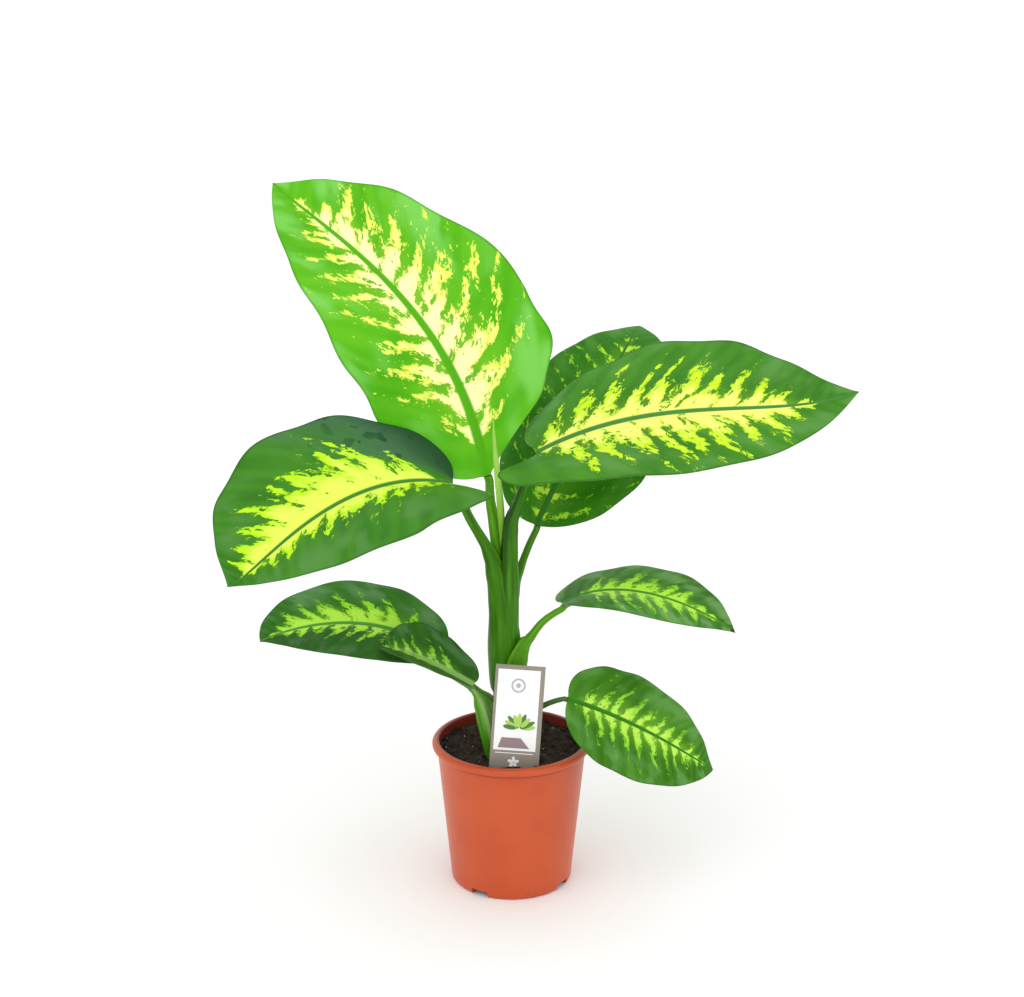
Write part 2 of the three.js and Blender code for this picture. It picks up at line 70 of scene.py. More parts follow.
# Each leaf: the midrib's four control points from stalk to tip, the roll about the midrib at both ends and
# the fold of the halves in degrees, the blunt or slim end as (length, width) shares, the stalk's radius, the
# height and the number of the large waves in its margin, and for each half its width, how far its lobe
# reaches back, where it is widest, and its droop in degrees. curl is how high a lobe rises where it reaches
# back a tenth of the midrib, and lean scales how far the side veins lean towards the tip.
LEAVES = {
    "top": dict(
        midrib=[(-0.026, 0.017, 0.448), (-0.056, 0.088, 0.616),
                (-0.203, 0.122, 0.689), (-0.254, 0.157, 0.731)],
        roll=(40, 29), fold=18, point=(0.09, 0.17), stalk=0.0046, wave=0.002, waves=2.5,
        right=dict(width=0.113, lobe=-0.12, belly=0.30, droop=13),
        left=dict(width=0.110, lobe=0.02, belly=0.39, droop=5)),
    "right": dict(
        midrib=[(0.028, -0.015, 0.483), (0.151, -0.069, 0.566),
                (0.254, -0.076, 0.528), (0.345, -0.056, 0.557)],
        roll=(-26, -43), fold=15, point=(0.09, 0.17), stalk=0.0044, wave=0.0015, waves=2,
        right=dict(width=0.091, lobe=0.20, belly=0.32, droop=20, curl=0.028),
        left=dict(width=0.091, lobe=0.14, belly=0.32, droop=14)),
    "left": dict(
        midrib=[(-0.059, -0.031, 0.453), (-0.175, -0.116, 0.503),
                (-0.245, -0.169, 0.398), (-0.269, -0.202, 0.404)],
        roll=(12, 12), fold=25, point=(0.09, 0.17), stalk=0.0044, wave=0.0015, waves=2,
        right=dict(width=0.103, lobe=0.08, belly=0.36, droop=6),
        left=dict(width=0.102, lobe=0.14, belly=0.32, droop=40)),
    "back": dict(
        midrib=[(0.026, 0.024, 0.392), (0.084, 0.076, 0.503),
                (0.125, 0.139, 0.561), (0.142, 0.212, 0.564)],
        roll=(-17, -4), fold=6, point=(0.09, 0.16), stalk=0.0036, wave=0.0015, waves=2,
        right=dict(width=0.088, lobe=-0.02, belly=0.35, droop=25),
        left=dict(width=0.087, lobe=0.01, belly=0.32, droop=25)),
    "mid_right": dict(
        midrib=[(0.054, 0.001, 0.313), (0.109, 0, 0.348),
                (0.191, -0.015, 0.320), (0.2315, -0.044, 0.297)],
        roll=(4, -21), fold=13, point=(0.09, 0.16), stalk=0.0036, wave=0.001, waves=2, lean=0.7,
        right=dict(width=0.051, lobe=0, belly=0.39, droop=28),
        left=dict(width=0.051, lobe=0.14, belly=0.38, droop=11)),
    "low_left": dict(
        midrib=[(-0.078, -0.012, 0.261), (-0.151, 0.005, 0.317),
                (-0.249, -0.007, 0.282), (-0.260, -0.043, 0.287)],
        roll=(26, 25), fold=15, point=(0.10, 0.16), stalk=0.0034, wave=0.001, waves=2,
        right=dict(width=0.056, lobe=0.04, belly=0.34, droop=16),
        left=dict(width=0.055, lobe=0.01, belly=0.34, droop=14)),
    "low_right": dict(
        midrib=[(0.059, -0.041, 0.222), (0.137, -0.047, 0.199),
                (0.196, -0.043, 0.152), (0.214, -0.034, 0.138)],
        roll=(-48, -39), fold=7, point=(0.10, 0.14), stalk=0.0027, wave=0.001, waves=2, lean=0.6,
        right=dict(width=0.057, lobe=0.01, belly=0.35, droop=24),
        left=dict(width=0.057, lobe=0.05, belly=0.29, droop=24)),
    "front_left": dict(
        midrib=[(-0.041, -0.031, 0.232), (-0.098, -0.038, 0.273),
                (-0.133, -0.045, 0.283), (-0.135, -0.038, 0.280)],
        roll=(23, 27), fold=36, point=(0.12, 0.13), stalk=0.0032, wave=0.0008, waves=2,
        right=dict(width=0.037, lobe=0.06, belly=0.36, droop=14),
        left=dict(width=0.036, lobe=0.06, belly=0.38, droop=7)),
}

# Each leaf's colours and variegation. Places along the midrib are shares of its length.
#    dark, light, sheen: the greens of the blade, and of the painted sheen between its veins towards the
#        margin
#   streak, heart, rib: the colours of the streaks, of their middles and of the midrib
#   reach, fill, start: in the right and in the left half, how far the streaks reach towards the margin, how
#       densely they fill that stretch and where along the midrib they start
#   end, taper: where they end, and over how long a stretch they thin out before that
#   streaks, frayed, soft, flecks: how many there are, how frayed and how soft they are, and how many loose
#       flecks lie beyond them
#    glow, dim, lobe: how strongly their colour glows between them, how much painted shade darkens the left
#        half, and how strongly the right half's lobe takes its painted sheen and painted shade
#   rib_spread, rib_fade, dry: how wide the midrib's colour is, where it fades, and where the dried tip begins
USUAL_FINISH = dict(taper=0.34, glow=0.2, dim=0, lobe=0, rib_spread=1.0, rib_fade=None, dry=0.985)
FINISHES = {
    "top": dict(
        USUAL_FINISH, dark=(0.070, 0.400, 0.003), light=(0.135, 0.520, 0.012), sheen=(0.220, 0.640, 0.110),
        streak=(0.80, 0.88, 0.12), heart=(1.0, 0.98, 0.48), rib=(0.095, 0.430, 0.006),
        reach=(0.82, 0.62), fill=(0.48, 0.40), start=(0.0, -0.02), end=1.0, streaks=17, frayed=5.2,
        soft=0.24, flecks=0.80, glow=0.15, rib_spread=1.25, seed=3),
    "right": dict(
        USUAL_FINISH, dark=(0.038, 0.185, 0.012), light=(0.072, 0.275, 0.022), sheen=(0.110, 0.300, 0.060),
        streak=(0.56, 0.86, 0.02), heart=(0.90, 0.94, 0.20), rib=(0.070, 0.250, 0.045),
        reach=(0.86, 0.66), fill=(0.85, 0.78), start=(-0.06, -0.14), end=0.94, streaks=16, frayed=4.8,
        soft=0.26, flecks=0.40, seed=11),
    "left": dict(
        USUAL_FINISH, dark=(0.033, 0.172, 0.010), light=(0.066, 0.265, 0.018), sheen=(0.090, 0.255, 0.055),
        streak=(0.46, 0.84, 0.010), heart=(0.76, 0.93, 0.11), rib=(0.060, 0.240, 0.030),
        reach=(0.69, 0.50), fill=(1.45, 1.10), start=(-0.02, -0.12), end=0.92, streaks=15, frayed=4.8,
        soft=0.26, flecks=0.25, taper=0.19, lobe=0.9, seed=23),
    "back": dict(
        USUAL_FINISH, dark=(0.022, 0.150, 0.004), light=(0.042, 0.220, 0.008), sheen=(0.070, 0.260, 0.026),
        streak=(0.30, 0.66, 0.02), heart=(0.50, 0.80, 0.06), rib=(0.035, 0.180, 0.012),
        reach=(0.80, 0.80), fill=(-0.60, -0.45), start=(-0.15, -0.15), end=0.95, streaks=16, frayed=4.8,
        soft=0.40, flecks=0.70, seed=37),
    "mid_right": dict(
        USUAL_FINISH, dark=(0.038, 0.162, 0.012), light=(0.100, 0.310, 0.045), sheen=(0.200, 0.400, 0.130),
        streak=(0.350, 0.780, 0.035), heart=(0.530, 0.950, 0.070), rib=(0.080, 0.300, 0.035),
        reach=(0.95, 0.68), fill=(0.70, 0.95), start=(0.04, 0.04), end=1.0, streaks=14, frayed=3.3,
        soft=0.75, flecks=0.30, glow=0.55, dry=0.955, seed=41),
    "low_left": dict(
        USUAL_FINISH, dark=(0.032, 0.155, 0.014), light=(0.070, 0.240, 0.036), sheen=(0.150, 0.300, 0.130),
        streak=(0.330, 0.740, 0.030), heart=(0.520, 0.900, 0.090), rib=(0.110, 0.340, 0.060),
        reach=(0.70, 0.51), fill=(1.20, 0.90), start=(-0.06, -0.06), end=1.0, streaks=14, frayed=3.5,
        soft=0.60, flecks=0.15, glow=0.45, dim=0.5, seed=59),
    "low_right": dict(
        USUAL_FINISH, dark=(0.032, 0.148, 0.004), light=(0.080, 0.265, 0.020), sheen=(0.120, 0.310, 0.070),
        streak=(0.260, 0.620, 0.030), heart=(0.500, 0.850, 0.100), rib=(0.040, 0.200, 0.012),
        reach=(0.70, 0.64), fill=(0.36, 0.32), start=(-0.04, -0.04), end=1.0, streaks=17, frayed=3.1,
        soft=0.60, flecks=0.15, glow=0.5, seed=67),
    "front_left": dict(
        USUAL_FINISH, dark=(0.016, 0.084, 0.004), light=(0.034, 0.145, 0.012), sheen=(0.085, 0.210, 0.070),
        streak=(0.280, 0.640, 0.040), heart=(0.420, 0.760, 0.110), rib=(0.290, 0.500, 0.130),
        reach=(0.62, 0.46), fill=(0.15, 0.10), start=(-0.05, -0.05), end=1.0, streaks=10, frayed=3.2,
        soft=0.60, flecks=0.10, glow=0.35, rib_spread=1.7, rib_fade=(0.30, 0.70), seed=71),
}
# the lobe's painted blue-grey sheen, and its dark spots, which also carry its painted shade where it turns
# down
LOBE_PAINTED_SHEEN = (0.056, 0.140, 0.074)
LOBE_SPOTS_AND_SHADE = (0.010, 0.060, 0.020)
DRIED_LEAF = (0.060, 0.040, 0.020)
UNDERSIDE_GREY = (0.22, 0.34, 0.16)

# Each stalk: (x, y, z, radius) from its sheath's foot upward. The last stretch is added from its leaf.
STALKS = {
    "top": [
        (-0.009, 0.004, 0.301, 0.006), (-0.010, 0.004, 0.322, 0.0068), (-0.012, 0.003, 0.345, 0.0068),
        (-0.014, 0.002, 0.366, 0.0065), (-0.0175, 0.003, 0.398, 0.0062), (-0.0205, 0.007, 0.415, 0.0055),
        (-0.023, 0.011, 0.427, 0.0049)],
    "right": [
        (-0.006, 0.003, 0.240, 0.012), (-0.005, 0.002, 0.262, 0.0118), (-0.003, -0.001, 0.300, 0.011),
        (-0.002, -0.003, 0.330, 0.010), (-0.002, -0.006, 0.364, 0.0092), (-0.002, -0.009, 0.398, 0.0086),
        (0.001, -0.012, 0.412, 0.007), (0.006, -0.013, 0.426, 0.0052), (0.013, -0.015, 0.446, 0.0048),
        (0.017, -0.016, 0.462, 0.0046)],
    "left": [
        (-0.008, 0.004, 0.212, 0.0155), (-0.008, 0.004, 0.259, 0.017), (-0.010, 0.002, 0.315, 0.0138),
        (-0.015, -0.003, 0.345, 0.0115), (-0.021, -0.008, 0.368, 0.008), (-0.028, -0.013, 0.385, 0.0056),
        (-0.038, -0.019, 0.404, 0.005), (-0.048, -0.025, 0.425, 0.0048)],
    "back": [
        (-0.003, 0.011, 0.244, 0.011), (-0.003, 0.012, 0.290, 0.0105), (0, 0.013, 0.318, 0.008),
        (0.006, 0.013, 0.338, 0.005), (0.014, 0.016, 0.360, 0.0039), (0.020, 0.019, 0.376, 0.0037)],
    "mid_right": [
        (0.002, -0.002, 0.196, 0.012), (0.004, -0.006, 0.230, 0.0115), (0.007, -0.008, 0.252, 0.010),
        (0.012, -0.008, 0.268, 0.0076), (0.018, -0.0075, 0.275, 0.0052), (0.026, -0.006, 0.286, 0.0042),
        (0.036, -0.004, 0.299, 0.0038)],
    "low_left": [
        (-0.011, 0.003, 0.180, 0.013), (-0.017, 0.001, 0.194, 0.011), (-0.026, -0.003, 0.206, 0.0065),
        (-0.036, -0.006, 0.215, 0.0044), (-0.048, -0.009, 0.228, 0.0037), (-0.062, -0.012, 0.244, 0.0035)],
    "low_right": [
        (0, -0.003, 0.160, 0.013), (0.005, -0.007, 0.176, 0.010), (0.014, -0.013, 0.190, 0.005),
        (0.026, -0.022, 0.203, 0.0032), (0.040, -0.031, 0.213, 0.0028)],
    "front_left": [
        (-0.010, -0.016, 0.104, 0.008), (-0.016, -0.025, 0.140, 0.009), (-0.021, -0.029, 0.162, 0.0086),
        (-0.028, -0.030, 0.190, 0.0084), (-0.032, -0.031, 0.211, 0.0070)],
}

#  Each stalk's colours at the sheath and at the blade, and how high the sheath's two edges stand, as a share
#  of the stalk's radius. wing_end is where along the stalk they begin to fade out and where they have, and
#  inner is the colour of the sheath's inner side: its own pale green on the front left stalk, and a painted
#  shade on the right one.
STALK_FINISHES = {
    "top": dict(low=(0.120, 0.380, 0.006), high=(0.070, 0.270, 0.006), wing=0.0),
    # its inner colour is a painted shade along the sheath's inner side
    "right": dict(low=(0.044, 0.180, 0.003), high=(0.044, 0.165, 0.005), wing=0.14,
                  inner=(0.010, 0.060, 0.002)),
    "left": dict(low=(0.046, 0.185, 0.001), high=(0.052, 0.200, 0.004), wing=0.18),
    "back": dict(low=(0.060, 0.210, 0.006), high=(0.060, 0.210, 0.010), wing=0.12),
    "mid_right": dict(low=(0.085, 0.275, 0.005), high=(0.120, 0.345, 0.010), wing=0.45,
                      wing_end=(0.44, 0.52)),
    "low_left": dict(low=(0.150, 0.350, 0.060), high=(0.150, 0.350, 0.060), wing=0.20),
    "low_right": dict(low=(0.060, 0.160, 0.020), high=(0.050, 0.130, 0.030), wing=0.15),
    "front_left": dict(low=(0.055, 0.220, 0.004), high=(0.120, 0.330, 0.020), wing=0.16,
                       inner=(0.260, 0.450, 0.130)),
}
USUAL_WING_END = (0.45, 0.90)
SHEATH_FOOT = (0.110, 0.095, 0.035)
# places and widths round a stalk, as shares of the half turn from its inner to its outer side
SHEATH_EDGE = 0.20
SHEATH_EDGE_WIDTH = 0.05
CHANNEL_WIDTH = 0.13
CHANNEL_DEPTH = 1.1              # as a multiple of the edges' height
LAST_STRETCH = (2.2, 0.6)        # where it begins, behind and below the blade's foot, in stalk radii
FOOT_LENGTH = 0.05               # share of the stalk where its foot closes in on the cane
FOOT_RADIUS = 0.76               # the foot's radius as a share of the stalk's
CENTRE_SMOOTHING = 9             # rings on both sides that a tube's centre line is averaged over

# The cane and the rolled new leaf: (x, y, z, radius) from below upward.
CANE = [
    (-0.006, 0.005, 0.066, 0.013), (-0.006, 0.005, 0.150, 0.014), (-0.007, 0.004, 0.215, 0.0125),
    (-0.008, 0.004, 0.262, 0.0085), (-0.009, 0.004, 0.300, 0.004)]
CANE_NODES = (0.158, 0.178, 0.198)
CANE_RING_RISE = 0.0012
CANE_RING_SPREAD = 0.003
CANE_GREENS = (0.060, 0.150, 0.020), (0.130, 0.260, 0.040)
CANE_SPOTS = (0.20, 0.15, 0.07)
CANE_SCARS = (0.14, 0.10, 0.05)

NEW_LEAF = [
    (-0.009, 0.003, 0.3385, 0.0026), (-0.009, 0, 0.370, 0.0032), (-0.010, -0.005, 0.400, 0.0038),
    (-0.0115, -0.008, 0.424, 0.0041), (-0.0135, -0.008, 0.448, 0.0037), (-0.0155, -0.006, 0.469, 0.0031),
    (-0.0175, -0.002, 0.489, 0.0022), (-0.0185, 0.003, 0.512, 0.0008)]
ROLL_FULLNESS = 1.02             # radius at the roll's outer edge, as a share of the one above
ROLL_STEP = 0.16                 # height of the roll's outer edge, as a share of the radius
ROLL_WIND = 2.4                  # how far it winds round from foot to tip
NEW_LEAF_GREENS = (0.190, 0.440, 0.015), (0.310, 0.620, 0.080)     # at its foot and at its tip
NEW_LEAF_FIBRES = (0.430, 0.700, 0.140)

POT_SIDES = 144
POT_BODY_TOP = 0.0796            # outer radius under the lip
POT_BODY_BASE = 0.065
POT_BODY_MIDDLE = (0.070, 0.0545)     # outer radius and height of a point on the wall between them
POT_NECK = ((-0.0001, 0.0098), (0.0001, 0.0074))     # its top: (radius past POT_BODY_TOP, depth below rim)
POT_WALL = 0.0018
POT_WALL_TOP = 0.1455            # height where its inner side meets the lip
POT_FILLET_IN = 0.005            # the inner bottom corner: how far in from the outer wall it starts
POT_FILLET_HIGH = 0.006          # and how high it ends
POT_FLOOR = 0.0022
POT_CORNER = 0.004               # radius of the bottom corner
POT_RING_IN = 0.030              # radii and height of the raised ring in the underside, and its sides' slope
POT_RING_OUT = 0.056
POT_RING_RISE = 0.004
POT_RING_SLOPE = 0.004
POT_RING_TOP_SLOPE = 0.003       # the slope above it, in the floor, and how far outside it that begins
POT_RING_TOP_MARGIN = 0.0006
POT_LIP = 0.006                  # radius of the rolled lip
POT_LIP_FLAT = 0.74              # its height as a share of its depth
POT_LIP_EDGE = 0.0016            # radius of its inner edge
POT_LIP_BAND = 0.0008            # height of the straight band round its outside
DRAIN_FIRST = math.radians(-122)  # direction of the first slot in the bottom corner
DRAIN_COUNT = 4
DRAIN_PLACE = 0.066              # radius of the middle of the cut
DRAIN_LENGTH = 0.040             # along that radius
DRAIN_WIDTH = 0.019
DRAIN_HEIGHT = 0.007
POT_ORANGES = (0.530, 0.070, 0.012), (0.560, 0.080, 0.016)
# a painted shade inside the pot, and a painted shadow under its rolled lip
POT_INSIDE_SHADE = (0.230, 0.028, 0.018)
POT_LIP_SHADOW = (0.330, 0.030, 0.006)
POT_GRIME = (0.16, 0.06, 0.03)
WALL_MIDDLE_FOOT = 0.0635        # radius of the middle of the wall at the ground, and its growth upward
WALL_MIDDLE_SLOPE = 0.1035

SOIL_LEVEL = 0.151
SOIL_SIDES = 132
SOIL_RINGS = 46
SOIL_BASE = [(0, 0.0065), (0.050, 0.0065), (0.062, 0.010), (0.0685, 0.060)]      # radius and height
SOIL_WAVE = 0.0016               # heights of the broad waves and of the lumps
SOIL_LUMP = 0.0022
SOIL_LUMPS = 140                 # lumps to a metre
SOIL_DIP = 0.002                 # how much lower the soil lies along the pot's wall
SOIL_DIP_START = 0.8             # share of its radius where it starts to fall, and over what share
SOIL_DIP_WIDTH = 0.2
CRUMBS = 900
CRUMB_SIZES = (0.0006, 0.0026)
SPECKS = 26
SPECK_SIZES = (0.0006, 0.0012)
CRUMB_MARGIN = 0.004             # how far they stay from the pot's wall
CRUMB_SINK = 0.0004              # how deep their middles lie in the soil
CRUMB_ROUGHNESS = 0.22           # how far their corners are moved, as a share of their size
CRUMB_SEED = 5
PEAT_BROWNS = (0.015, 0.011, 0.008), (0.075, 0.051, 0.038)
PEAT_CLODS = (0.098, 0.066, 0.048)
PERLITE_TONES = (0.55, 0.52, 0.46), (0.85, 0.84, 0.80)

LABEL_TOP = (0.010, -0.0345, 0.257)
LABEL_LEAN = math.radians(12)
LABEL_TILT = math.radians(4)
LABEL_WIDTH = 0.052
LABEL_CARD = 0.122
LABEL_SPIKE = 0.038
LABEL_TIP = 0.002                # half the width of the spike's end
LABEL_THICKNESS = 0.0009
LABEL_INK = 0.00008              # thickness of a layer of print
LABEL_GREY = (0.296, 0.258, 0.205)

# The print's parts in the plane of the card: x across and z up, from the middle of its top edge.
PANEL = dict(left=-0.0230, right=0.0213, high=-0.0047, low=-0.0905)
MAT = [(-0.0150, -0.0770), (0.0050, -0.0770), (0.0150, -0.0880), (-0.0185, -0.0880)]
TUFT_CENTRE = (0.0025, -0.0670)
TUFT_SPREAD = (0.0100, 0.0085)
TUFT_LEAVES = 9
TUFT_FIRST = 8                   # direction of the first of them and the step to the next, in degrees
TUFT_STEP = 20.5
TUFT_LENGTH = 0.0150             # their length, how much it varies, and their width
TUFT_LENGTH_CHANGE = 0.0022
TUFT_WIDTH = 0.0050
RING_CENTRE = (-0.001, -0.0215)
RING_SIZES = (0.0150, 0.0115, 0.0050)     # its outer and inner width, and that of the spot inside
RULE = dict(left=-0.0210, right=0.0190, high=-0.0930, low=-0.0938)
ROSETTE_CENTRE = (-0.001, -0.1030)
ROSETTE_RADIUS = 0.0034
PETALS = 5
PETAL_SIZE = (0.0058, 0.0034)
PRINT_COLOURS = {
    "label white": (0.95, 0.95, 0.95),
    "label mauve": (0.30, 0.21, 0.22),
    "label leaf green": (0.40, 0.66, 0.09),
    "label deep green": (0.07, 0.20, 0.05),
    "label grey": (0.45, 0.45, 0.46),
}
WHITE, MAUVE, LEAF_GREEN, DEEP_GREEN, GREY = range(len(PRINT_COLOURS))      # their material slots

CAMERA_PLACE = (0.0006, -2.100, 1.081)
CAMERA_DOWN = math.radians(17.26)
CAMERA_LENS = 74.71
FLOOR_SIZE = 40
FLOOR_WHITE = (0.98, 0.98, 0.98, 1)


# ---------- small helpers ----------

def mix(a, b, share):
    return a + (b - a) * share


def clamp(value):
    return min(1.0, max(0.0, value))


def smooth(share):
    share = clamp(share)
    return share * share * (3 - 2 * share)


def scaled(colour, factor):
    return tuple(factor * c for c in colour)


def piece_from(bm, name, slot, *materials, stands_for=(), flat=False):
    """Makes a bmesh into a piece that rides on the plant."""
    mesh = bpy.data.meshes.new(name)
    bm.to_mesh(mesh)
    bm.free()
    for polygon in mesh.polygons:
        polygon.use_smooth = not flat
    for material in materials:
        mesh.materials.append(material)
    piece = bpy.data.objects.new(name, mesh)
    bpy.context.scene.collection.objects.link(piece)
    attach(piece, "root")
    if stands_for:
        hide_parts(*stands_for)
    return piece


# ---------- shader helpers ----------

class Nodes:
    """Adds nodes to one node tree, and links whatever is a socket while setting whatever is a number."""

    def __init__(self, tree):
        self.tree = tree

    def put(self, socket, value):
        if isinstance(value, bpy.types.NodeSocket):
            self.tree.links.new(value, socket)
        else:
            socket.default_value = (*value, 1) if socket.type == "RGBA" and len(value) == 3 else value

    def add(self, kind, settings=(), **inputs):
        node = self.tree.nodes.new(kind)
        for name, value in dict(settings).items():
            setattr(node, name, value)
        for name, value in inputs.items():
            self.put(node.inputs[name.replace("_", " ")], value)
        return node

    def math(self, operation, *values):
        node = self.tree.nodes.new("ShaderNodeMath")
        node.operation = operation
        for socket, value in zip(node.inputs, values):
            self.put(socket, value)
        return node.outputs[0]

    def times(self, a, b):
        return self.math("MULTIPLY", a, b)

    def ramp(self, value, low, high, out_low=0.0, out_high=1.0):
        """Smoothly remaps value from low..high to out_low..out_high, clamped."""
        node = self.tree.nodes.new("ShaderNodeMapRange")
        node.interpolation_type = "SMOOTHSTEP"
        for socket, number in zip(node.inputs, (value, low, high, out_low, out_high)):
            self.put(socket, number)
        return node.outputs["Result"]

    def mix(self, share, a, b):
        node = self.tree.nodes.new("ShaderNodeMix")
        node.data_type = "RGBA"
        colours = [socket for socket in node.inputs if socket.type == "RGBA"]
        for socket, value in zip((node.inputs["Factor"], *colours), (share, a, b)):
            self.put(socket, value)
        return next(socket for socket in node.outputs if socket.type == "RGBA")

    def tint(self, colour, other, mask, strength):
        """Lays the other colour over this one, as strongly as mask times strength."""
        return self.mix(self.times(mask, strength), colour, other)

    def vector(self, x, y, z=0.0):
        return self.add("ShaderNodeCombineXYZ", X=x, Y=y, Z=z).outputs[0]

    def split(self, vector):
        return self.add("ShaderNodeSeparateXYZ", Vector=vector).outputs

    def noise(self, vector, scale=1.0, detail=2.0, roughness=0.5, distortion=0.0):
        return self.add("ShaderNodeTexNoise", Vector=vector, Scale=scale, Detail=detail,
                        Roughness=roughness, Distortion=distortion).outputs["Fac"]

    def stretched_noise(self, x, x_scale, y, y_scale, z=0.0, **settings):
        return self.noise(self.vector(self.times(x, x_scale), self.times(y, y_scale), z), **settings)

    def attribute(self, name):
        return self.add("ShaderNodeAttribute", {"attribute_name": name}).outputs["Vector"]

    def object_place(self):
        return self.add("ShaderNodeTexCoord").outputs["Object"]


def new_group(name, inputs, outputs):
    """A node group's helper, the values that it is given and the sockets that it fills."""
    tree = bpy.data.node_groups.new(name, "ShaderNodeTree")
    for socket, kind in inputs.items():
        tree.interface.new_socket(socket, in_out="INPUT", socket_type=kind)
    for socket, kind in outputs.items():
        tree.interface.new_socket(socket, in_out="OUTPUT", socket_type=kind)
    return Nodes(tree), tree.nodes.new("NodeGroupInput").outputs, tree.nodes.new("NodeGroupOutput").inputs


def use_group(nodes, group, **inputs):
    node = nodes.tree.nodes.new("ShaderNodeGroup")
    node.node_tree = group
    for name, value in inputs.items():
        nodes.put(node.inputs[name.replace("_", " ")], value)
    return node.outputs


def new_material(name, **constants):
    """A material whose shader has these constant values, its node helper and its shader."""
    material = bpy.data.materials.new(name)
    material.use_nodes = True
    shader = material.node_tree.nodes["Principled BSDF"]
    for socket, value in constants.items():
        shader.inputs[socket.replace("_", " ")].default_value = value
    return material, Nodes(material.node_tree), shader


def finish_shader(nodes, shader, colour, height, strength, distance):
    """Gives the shader its colour and a bump of this height."""
    node = nodes.add("ShaderNodeBump", Height=height, Strength=strength, Distance=distance)
    nodes.put(shader.inputs["Base Color"], colour)
    nodes.put(shader.inputs["Normal"], node.outputs["Normal"])


VECTOR, FLOAT, COLOUR = "NodeSocketVector", "NodeSocketFloat", "NodeSocketColor"
# the streaks' values in a leaf's finish: a pair for its halves, or one for the whole leaf
STREAKS_BY_HALF = ("Reach", "Fill", "Start")
STREAKS_OF_LEAF = ("End", "Taper", "Streaks", "Frayed", "Soft", "Flecks", "Seed")


def variegation_group():
    """Streaks that run outward along the side veins and fray, thinner and rarer towards the margin."""
    by_half = [f"{value} {half}" for value in STREAKS_BY_HALF for half in ("right", "left")]
    nodes, given, result = new_group(
        "variegation", {"Place": VECTOR, "Half": FLOAT, **dict.fromkeys([*by_half, *STREAKS_OF_LEAF], FLOAT)},
        {"Streak": FLOAT, "Heart": FLOAT, "Near": FLOAT})
    vein, out, share = nodes.split(given["Place"])
    # the lanes get wider towards the tip
    spread = nodes.math("MULTIPLY_ADD", vein, -0.25, 1.0)
    lane = nodes.times(nodes.times(vein, given["Streaks"]), spread)
    page = nodes.math("MULTIPLY_ADD", given["Half"], 7.3, given["Seed"])

    def of_half(name):
        gap = nodes.math("SUBTRACT", given[f"{name} right"], given[f"{name} left"])
        return nodes.math("MULTIPLY_ADD", given["Half"], gap, given[f"{name} left"])

    def grain(across, outward, shift, detail, roughness=0.6, distortion=0.0):
        return nodes.stretched_noise(lane, across, out, outward, nodes.math("ADD", page, shift),
                                     detail=detail, roughness=roughness, distortion=distortion)

    start = of_half("Start")
    rises = nodes.ramp(vein, start, nodes.math("ADD", start, 0.15))
    falls = nodes.ramp(vein, nodes.math("SUBTRACT", given["End"], given["Taper"]), given["End"], 1.0, 0.0)
    lengths = nodes.math("ADD", grain(0.9, 0.0, 5.7, 1.0), 0.50)
    reach = nodes.times(nodes.times(of_half("Reach"), lengths), nodes.times(rises, falls))
    passed = nodes.math("DIVIDE", share, nodes.math("MAXIMUM", reach, 0.03))

    # one tapering finger to each lane, its sides moved and frayed by finer and finer noise
    bent = nodes.math("MULTIPLY_ADD", grain(0.8, 2.2, 3.1, 1.0), 1.3, lane)
    finger = nodes.math("COSINE", nodes.times(bent, 2 * math.pi))
    fray = grain(3.0, 9.0, 0.0, 5.0, 0.74, 0.6)
    score = nodes.times(nodes.math("SUBTRACT", fray, 0.5), given["Frayed"])
    score = nodes.math("ADD", score, nodes.math("MULTIPLY_ADD", finger, 0.60, -0.60))
    taper = nodes.times(nodes.math("SUBTRACT", 1.0, passed), nodes.math("ADD", of_half("Fill"), 1.0))
    score = nodes.math("ADD", score, taper)
    score = nodes.math("MULTIPLY_ADD", nodes.math("SUBTRACT", rises, 1.0), 0.9, score)
    holes = nodes.times(nodes.ramp(grain(4.2, 9.0, 8.3, 3.0), 0.55, 0.63), nodes.ramp(passed, -0.10, 0.30))
    streak = nodes.ramp(nodes.math("MULTIPLY_ADD", holes, -0.9, score), 0.0, given["Soft"])

    # loose flecks just beyond the streaks
    speck = grain(7.0, 20.0, 1.9, 2.0)
    where = nodes.times(nodes.ramp(passed, 1.7, 0.9), rises)
    limit = nodes.math("MULTIPLY_ADD", nodes.times(given["Flecks"], where), -0.16, 0.80)
    fleck = nodes.ramp(nodes.math("SUBTRACT", speck, limit), 0.0, 0.04)
    near = nodes.ramp(passed, 0.0, 0.75, 0.75, 0.0)
    nodes.put(result["Streak"], nodes.math("MAXIMUM", streak, fleck))
    nodes.put(result["Near"], nodes.times(near, rises))
    nodes.put(result["Heart"], nodes.ramp(nodes.math("MULTIPLY_ADD", score, 0.55, near), 0.25, 1.25))
    return nodes.tree


def vein_relief_group():
    """Height of the side veins and of the fine grain between them."""
    nodes, given, result = new_group(
        "vein relief", {"Place": VECTOR, "Veins": FLOAT}, {"Height": FLOAT, "Band": FLOAT})
    vein, out, _ = nodes.split(given["Place"])
    wobble = nodes.stretched_noise(vein, 9.0, out, 2.0, detail=1.0)
    phase = nodes.math("MULTIPLY_ADD", vein, given["Veins"], wobble)
    band = nodes.ramp(nodes.math("SINE", nodes.times(phase, 2 * math.pi)), -1.0, 1.0)
    fine = nodes.stretched_noise(vein, 190.0, out, 26.0)
    nodes.put(result["Band"], band)
    nodes.put(result["Height"], nodes.math("MULTIPLY_ADD", fine, 0.22, band))
    return nodes.tree


